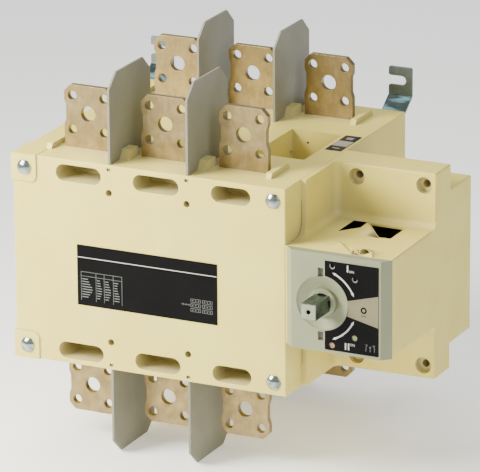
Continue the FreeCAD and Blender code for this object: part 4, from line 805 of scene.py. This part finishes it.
@dataclass
class FrontPlate:
    """The grey plate with its dish and windows, and the dial that is printed on the film beside them.

    A place on the dial is (across, up) from the spindle's axis and the film's middle, and a depth is
    measured back from the plate's face.  Both are in millimetres, and so is every size but the two radii.
    """

    edge_radius: float = 0.7 * MM
    collar_radius: float = 0.5 * MM
    film: float = 0.5
    wedge_start: float = 26.66
    wedge_angles: Pair = (-17.0, 15.0)
    wedge_rises: Pair = (-15.0, 15.3)
    sweep_place: Pair = (-2.0, 3.0)
    sweep_radii: Pair = (36.3, 37.9)
    sweep_angles: Pair = (28.5, 64.5)
    arrow_size: Pair = (3.4, 1.45)
    numerals: tuple[tuple[int, float, float], ...] = ((1, 25.9, 37.6), (2, 25.5, -36.8))
    bar_size: Pair = (1.3, 6.5)
    bar_pitch: float = 3.0
    on_places: tuple[Pair, ...] = ((29.9, 35.0), (30.8, -34.7))
    on_height: float = 2.2
    off_across: float = 42.0
    off_ring: Pair = (1.55, 3.1)
    off_drop: float = 5.6
    off_height: float = 2.1
    symbol_place: Pair = (48.5, -35.6)
    lamp_places: tuple[Pair, ...] = ((10.3, 37.9), (32.8, 27.9))
    lamp_radii: Pair = (2.1, 2.72)
    lamp_depths: Pair = (1.6, 0.5)
    lamp_thickness: float = 0.4
    rim_angles: Pair = (150.0, 370.0)
    rim_depth: float = 0.6
    slide_left: float = -3.9
    slide_width: float = 3.4
    slide_lows: Pair = (26.3, -34.7)
    slide_height: float = 8.3
    slide_depths: Pair = (3.0, 5.6)

    def build(self) -> list[Piece]:
        """Round the plate and its collar, print the dial and fill the openings, some with painted shade and
        light.

        Returns:
            The plate, the collar, every print on the dial and every insert behind it.
        """
        plate = rounded_node("front_plate", self.edge_radius)
        collar = rounded_node("spindle_collar", self.collar_radius)
        prints = [self._wedge(), *self._white_prints(), *self._off_prints()]
        return [plate, collar, *prints, *self._lamps(), *self._slides()]

    @staticmethod
    def _place(across: float, up: float) -> Pair:
        """Turn a place on the dial into the model's frame.

        Args:
            across: millimetres to the right of the spindle's axis.
            up: millimetres above the film's middle.
        Returns:
            The (x, z) in metres.
        """
        film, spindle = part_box("dial_label"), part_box("spindle")
        x, z = (spindle[0].x + spindle[1].x) / 2, (film[0].z + film[1].z) / 2
        return x + across * MM, z + up * MM

    @staticmethod
    def _layer(number: int) -> Pair:
        """The Y of the front and the back of the ink's first or second layer on the film."""
        film_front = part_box("dial_label")[0].y
        return film_front - number * INK, film_front - (number - 1) * INK

    def _wedge(self) -> Piece:
        """Print the wedge of the middle position: an arc about the spindle, and straight out to the edge.

        Returns:
            The wedge.
        """
        centre = self._place(0.0, 0.0)
        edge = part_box("dial_label")[1].x - TOUCH
        low, high = (centre[1] + rise * MM for rise in self.wedge_rises)
        inner = arc(centre, self.wedge_start * MM, *self.wedge_angles, 12)
        outline = np.concatenate([[(edge, high)], inner[::-1], [(edge, low)]])
        return printed("dial_wedge", INK_BEIGE, slab_mesh("dial_wedge", [outline], *self._layer(1)))

    def _white_prints(self) -> list[Piece]:
        """Print the two swept arrows, the numerals, the words beside them and the switch's sign.

        Returns:
            The marks, the sign and the words.
        """
        near, far = self._layer(1)
        inner, outer = (radius * MM for radius in self.sweep_radii)
        first, last = self.sweep_angles
        marks = []
        for sign in (1, -1):
            centre = self._place(self.sweep_place[0], -sign * self.sweep_place[1])
            marks.append(arc_band(centre, inner, outer, *sorted((sign * first, sign * last))))
            for angle, way in ((last, 1), (first, -1)):
                marks.append(self._arrow(centre, (inner + outer) / 2, sign * angle, sign * way))
        for count, across, up in self.numerals:
            marks += self._bars(count, *self._place(across, up))
        sign_mesh = slab_mesh("dial_symbol", self._symbol(*self._place(*self.symbol_place)), near, far)
        height = self.on_height * MM
        on_meshes = [words_mesh("ON", self._place(*place), height, near, far) for place in self.on_places]
        return [
            printed("dial_marks", INK_WHITE, slab_mesh("dial_marks", marks, near, far)),
            printed("dial_symbol", INK_DIM, sign_mesh),
            printed("dial_on_words", INK_WHITE, join_meshes("dial_on_words", on_meshes)),
        ]

    def _off_prints(self) -> list[Piece]:
        """Print a ring and a word in black on the wedge.

        Returns:
            The ring and the word.
        """
        layer = self._layer(2)
        ring = ring_bands(self._place(self.off_across, 0.0), *(radius * MM for radius in self.off_ring))
        word = words_mesh("OFF", self._place(self.off_across, -self.off_drop), self.off_height * MM, *layer)
        return [
            printed("dial_off_ring", FILM, slab_mesh("dial_off_ring", ring, *layer)),
            printed("dial_off_word", FILM, join_meshes("dial_off_word", [word])),
        ]

    def _at_depth(self, depth: float) -> float:
        """The Y that lies so many millimetres behind the plate's face."""
        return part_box("dial_label")[0].y + (self.film + depth) * MM

    def _lamps(self) -> list[Piece]:
        """Close the four lamp holes: deep black discs above as painted shade, shallow coloured discs below,
        and a white arc of painted highlight on the lit wall of each upper hole.

        Returns:
            The four discs and the two arcs of painted highlight.
        """
        rim, radius = (value * MM for value in self.lamp_radii)
        pieces, rims = [], []
        # The upper holes take black discs, painted shade for their dark depth; the lower take coloured pilot
        # discs.
        inserts = ((1, "top", (FILM, FILM)), (-1, "bottom", (PILOT_ROSE, PILOT_LIME)))
        for (sign, row, finishes), depth in zip(inserts, self.lamp_depths):
            for side, (across, up), finish in zip(("near", "far"), self.lamp_places, finishes):
                centre, name = self._place(across, sign * up), f"lamp_{side}_{row}"
                disc = arc(centre, radius, 0.0, 360.0, 33)[:-1]
                span = self._at_depth(depth), self._at_depth(depth + self.lamp_thickness)
                pieces.append(printed(name, finish, slab_mesh(name, [disc], *span)))
                # Each upper hole also gets a white arc on its lower wall, a painted highlight.
                if finish is FILM:
                    rims.append(arc_band(centre, rim, radius, *self.rim_angles))
        span = self._at_depth(self.rim_depth), self._at_depth(self.rim_depth + self.lamp_thickness)
        return [*pieces, printed("lamp_painted_highlights", INK_WHITE, slab_mesh("lamp_painted_highlights", rims, *span))]

    def _slides(self) -> list[Piece]:
        """Set a block of painted shade into each of the two small windows.

        Returns:
            The two blocks of painted shade.
        """
        span = tuple(self._at_depth(depth) for depth in self.slide_depths)
        pieces = []
        # Each block is painted shade for the shaded inside of its window.
        for name, low in zip(("window_shade_top", "window_shade_bottom"), self.slide_lows):
            start = self._place(self.slide_left, low)
            end = self._place(self.slide_left + self.slide_width, low + self.slide_height)
            pieces.append(printed(name, SHUTTER, slab_mesh(name, [rectangle(*start, *end)], *span)))
        return pieces

    def _arrow(self, centre: Pair, radius: float, angle: float, way: int) -> np.ndarray:
        """An arrowhead at the end of an arc: its tip lies further along the circle, its base across it.

        Args:
            centre: the circle's centre.
            radius: its radius in metres.
            angle: where the base stands, in degrees.
            way: 1 to point counter-clockwise, -1 to point clockwise.
        Returns:
            Its three corners, counter-clockwise.
        """
        length, half_base = (value * MM for value in self.arrow_size)
        turn = math.radians(angle)
        out = np.array([math.cos(turn), math.sin(turn)])
        along = np.array([-out[1], out[0]]) * way
        base = np.array(centre) + out * radius
        corners = np.array([base - out * half_base, base + along * length, base + out * half_base])
        area = np.cross(corners[1] - corners[0], corners[2] - corners[0])
        return corners if area > 0 else corners[::-1]

    def _bars(self, count: int, x: float, z: float) -> Outlines:
        """Upright bars side by side, as in a Roman I or II.

        Args:
            count: how many bars.
            x: the middle of the numeral.
            z: its middle height.
        Returns:
            One rectangle for each bar.
        """
        width, height = (value * MM for value in self.bar_size)
        lefts = x + (np.arange(count) - (count - 1) / 2) * self.bar_pitch * MM - width / 2
        return [rectangle(left, z - height / 2, left + width, z + height / 2) for left in lefts]

    @staticmethod
    def _symbol(x: float, z: float) -> Outlines:
        """The usual sign for a changeover switch: two outer contacts and a blade that points to either.

        Args:
            x: the blade's place across.
            z: the sign's middle height.
        Returns:
            Its strokes and the ring of the pivot.
        """
        line, foot, knee, tip = 0.45 * MM, z - 3.0 * MM, z + 1.0 * MM, z + 3.4 * MM
        bar = tip - 0.2 * MM
        marks = []
        for sign in (-1, 1):
            outer, inner = x + sign * 4.2 * MM, x + sign * 2.6 * MM
            marks.append(stroke((outer, foot), (outer, knee), line))
            marks.append(stroke((outer, knee), (inner, tip), line))
            marks.append(stroke((x + sign * 4.9 * MM, bar), (x + sign * 3.4 * MM, bar), line))
        marks.append(stroke((x, foot), (x, z + 0.4 * MM), line))
        return marks + ring_bands((x, z + 1.2 * MM), 0.35 * MM, 0.85 * MM)


@dataclass
class NamePlate:
    """The black film on the front cover: a rule and an empty rating table, with no wording.

    The table's columns and rows are millimetres from its left side and its top.
    """

    line: float = 0.35 * MM
    rule: float = 0.7 * MM
    rule_drop: float = 12.0 * MM
    rule_inset: float = 0.3 * MM
    table_corner: Pair = (4.0 * MM, 5.0 * MM)
    table_height: float = 28.0 * MM
    table_columns: tuple[float, ...] = (0.0, 15.5, 24.0, 33.5, 42.5)
    table_rows: tuple[float, ...] = (0.0, 4.2)
    value_rows: int = 8
    value_drop: float = 7.0 * MM
    value_pitch: float = 2.5 * MM
    value_height: float = 0.8 * MM
    value_inset: float = 1.0 * MM
    diagram_place: Pair = (16.0 * MM, 16.0 * MM)
    pole_box: Pair = (10.0 * MM, 3.0 * MM)
    pole_pitch: Pair = (12.0 * MM, 4.6 * MM)
    tick: float = 1.0 * MM
    tick_pitch: float = 3.0 * MM
    link: Pair = (-21.0 * MM, -11.0 * MM)
    link_tick: float = 2.4 * MM

    def build(self) -> list[Piece]:
        """Print the rule, the table with its blank value strokes and a pole diagram.

        Returns:
            The three prints.
        """
        low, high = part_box("front_label")
        rule_z = high.z - self.rule_drop
        left, right = low.x + self.rule_inset, high.x - self.rule_inset
        rule = rectangle(left, rule_z - self.rule / 2, right, rule_z + self.rule / 2)
        table = self._table(low.x + self.table_corner[0], low.z + self.table_corner[1])
        diagram = self._diagram(high.x - self.diagram_place[0], low.z + self.diagram_place[1])
        return [
            printed(name, ink, slab_mesh(name, outlines, low.y - INK, low.y))
            for name, ink, outlines in (
                ("plate_rule", INK_WHITE, [rule]),
                ("plate_table", INK_DIM, table),
                ("plate_diagram", INK_DIM, diagram),
            )
        ]

    def _table(self, left: float, bottom: float) -> Outlines:
        """Grid lines, and short strokes where a rating table has its values.

        A stroke fills a share of its cell that wanders between 0.45 and 0.8 as a sine.

        Args:
            left: the table's left side.
            bottom: its lower side.
        Returns:
            The lines and the strokes.
        """
        top, half = bottom + self.table_height, self.line / 2
        columns = np.array(self.table_columns) * MM + left
        grid = [rectangle(x - half, bottom, x + half, top) for x in columns]
        for drop in self.table_rows:
            z = top - drop * MM
            grid.append(rectangle(left, z - half, columns[-1], z + half))
        steps = np.arange(self.value_rows)
        shares = 0.45 + 0.35 * (0.5 + 0.5 * np.sin(steps * 2.4))
        for number, z in enumerate(top - self.value_drop - steps * self.value_pitch):
            for start, end in zip(columns[:-1], columns[1:]):
                share = shares[(number * 3 + int(start / MM)) % self.value_rows]
                first = start + self.value_inset
                last = first + (end - start - 2 * self.value_inset) * share
                grid.append(rectangle(first, z - self.value_height / 2, last, z + self.value_height / 2))
        return grid

    def _diagram(self, x: float, z: float) -> Outlines:
        """Two columns of pole boxes joined by a link, as on a generic wiring diagram.

        Args:
            x: the diagram's middle across.
            z: its middle height.
        Returns:
            The boxes' outlines, the ticks in them and the link.
        """
        marks = []
        half_box = np.array(self.pole_box) / 2
        half_tick = self.tick / 2
        for column in (-0.5, 0.5):
            for row in (1, 0, -1):
                cx, cz = x + column * self.pole_pitch[0], z + row * self.pole_pitch[1]
                outer = rectangle(cx - half_box[0], cz - half_box[1], cx + half_box[0], cz + half_box[1])
                marks += [stroke(a, b, self.line) for a, b in zip(outer, np.roll(outer, -1, axis=0))]
                for place in (-1, 0, 1):
                    tx = cx + place * self.tick_pitch
                    marks.append(rectangle(tx - half_tick, cz - half_tick, tx + half_tick, cz + half_tick))
        start, end = self.link
        marks.append(stroke((x + start, z), (x + end, z), self.line))
        for place in (-1, 0, 1):
            tx = x + (start + end) / 2 + place * self.tick_pitch
            marks.append(stroke((tx, z - self.link_tick / 2), (tx, z + self.link_tick / 2), self.line))
        return marks


@dataclass
class PositionStrip:
    """The three-part strip on top that repeats the positions I, O and II."""

    edges: Pair = (13.5 * MM, 30.0 * MM)
    margin: float = 0.2 * MM
    bar_size: Pair = (7.0 * MM, 1.3 * MM)
    bar_pitch: float = 3.6 * MM

    def build(self) -> list[Piece]:
        """Lay the grey middle field and the marks on the dark strip.

        Returns:
            The field and the marks.
        """
        low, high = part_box("position_label")
        start, end = (low.y + edge for edge in self.edges)
        field = rectangle(low.x + self.margin, start, high.x - self.margin, end)
        x, near, far = (low.x + high.x) / 2, (low.y + start) / 2, (end + high.y) / 2
        places = (near, far - self.bar_pitch / 2, far + self.bar_pitch / 2)
        half_x, half_y = (size / 2 for size in self.bar_size)
        bars = [rectangle(x - half_x, y - half_y, x + half_x, y + half_y) for y in places]
        return [self._lay("strip_field", FILM_GREY, [field]), self._lay("strip_marks", INK_WHITE, bars)]

    @staticmethod
    def _lay(name: str, ink: Finish, outlines: Outlines) -> Piece:
        """Print on the strip: upright slabs turned flat, (x, y, z) to (x, z, -y).

        Args:
            name: the print's name.
            ink: its finish.
            outlines: arrays of (x, y) corners, counter-clockwise from above.
        Returns:
            The finished print.
        """
        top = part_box("position_label")[1].z
        mesh = slab_mesh(name, outlines, -(top + INK), -top)
        mesh.transform(Matrix(((1, 0, 0, 0), (0, 0, 1, 0), (0, -1, 0, 0), (0, 0, 0, 1))))
        return printed(name, ink, mesh)


# ---------------------------------------------------------------- studio


@dataclass
class Studio:
    """Camera, lights and the pale floor."""

    azimuth: float = 25.774
    elevation: float = 18.147
    roll: float = -0.3915
    distance: float = 4.4389
    lens_mm: float = 355.077
    sensor_mm: float = 36.0
    target: Triple = (0.04599, -0.1915, 0.01335)
    light_target: Triple = (0.05, -0.15, 0.0)
    surround_colour: Colour = (0.94, 0.98, 1.0, 1.0)
    surround_strength: float = 0.42
    floor_drop: float = 0.6 * MM
    floor_reach: float = 30.0
    floor_glow: float = 0.42

    def build(self) -> list[Piece]:
        """Place the camera, the lights and the floor.

        Returns:
            The floor.
        """
        self._camera()
        self._lights()
        return [self._floor()]

    def _camera(self) -> None:
        """Aim the camera: it looks back along the direction given by azimuth and elevation, then rolls."""
        a, e, r = (math.radians(v) for v in (self.azimuth, self.elevation, self.roll))
        back = Vector((math.sin(a) * math.cos(e), -math.cos(a) * math.cos(e), math.sin(e)))
        right = Vector((math.cos(a), math.sin(a), 0.0))
        up = back.cross(right)
        rolled_right = right * math.cos(r) + up * math.sin(r)
        rolled_up = up * math.cos(r) - right * math.sin(r)
        data = bpy.data.cameras.new("camera")
        data.sensor_fit = "HORIZONTAL"
        data.sensor_width = self.sensor_mm
        data.lens = self.lens_mm
        data.clip_end = 50.0
        camera = bpy.data.objects.new("camera", data)
        bpy.context.scene.collection.objects.link(camera)
        turn = Matrix((rolled_right, rolled_up, back)).transposed().to_4x4()
        camera.matrix_world = Matrix.Translation(Vector(self.target) + back * self.distance) @ turn
        bpy.context.scene.camera = camera

    def _area(self, name: str, place: Triple, size: float, power: float, colour: str) -> None:
        """Set up one square soft light that is aimed at the model.

        Args:
            name: the light's name.
            place: where it stands.
            size: the length of its side in metres.
            power: its power in watts.
            colour: its sRGB hex colour.
        """
        data = bpy.data.lights.new(name, "AREA")
        data.size = size
        data.energy = power
        data.color = linear(colour)[:3]
        light = bpy.data.objects.new(name, data)
        bpy.context.scene.collection.objects.link(light)
        light.location = place
        light.rotation_euler = (Vector(self.light_target) - Vector(place)).to_track_quat("-Z", "Y").to_euler()

    def _lights(self) -> None:
        """Set a large key light to the upper left, a fill, a top light and an even pale surround."""
        self._area("key", (-0.6, -0.85, 0.55), 0.55, 36.0, "#FFFBF2")
        self._area("fill", (2.0, -1.3, 1.2), 1.4, 23.0, "#FFFFFF")
        self._area("top", (-0.6, 0.5, 2.4), 1.8, 40.0, "#FFFFFF")
        world = bpy.data.worlds.new("surround")
        world.use_nodes = True
        background = world.node_tree.nodes["Background"]
        background.inputs["Color"].default_value = self.surround_colour
        background.inputs["Strength"].default_value = self.surround_strength
        bpy.context.scene.world = world

    def _floor(self) -> Piece:
        """Lay a flat sheet of paper just under the lowest barrier tips, lit a little from within.

        Returns:
            The sheet.
        """
        height = CAD_BOX[0][2] - self.floor_drop
        sheet = rectangle(-self.floor_reach, -self.floor_reach, self.floor_reach, self.floor_reach)
        mesh = bpy.data.meshes.new("floor")
        mesh.from_pydata([(x, y, height) for x, y in sheet.tolist()], [], [(0, 1, 2, 3)])
        floor = new_object("floor", mesh)
        PALETTE.dress(floor, PAPER)
        shade = floor.data.materials[0].node_tree.nodes["Principled BSDF"]
        shade.inputs["Emission Color"].default_value = (1.0, 1.0, 1.0, 1.0)
        shade.inputs["Emission Strength"].default_value = self.floor_glow
        return floor


def main() -> None:
    """Dress the model, build each class in order and report its pieces."""
    logging.basicConfig(level=logging.INFO, format="%(name)s %(message)s")
    PALETTE.dress_nodes()
    for part in (Mouldings(), Metalwork(), Barriers(), FrontPlate(), NamePlate(), PositionStrip(), Studio()):
        for piece in part.build():
            LOG.info("%s made %s", type(part).__name__, piece.name)


if __name__ == "__main__":
    main()
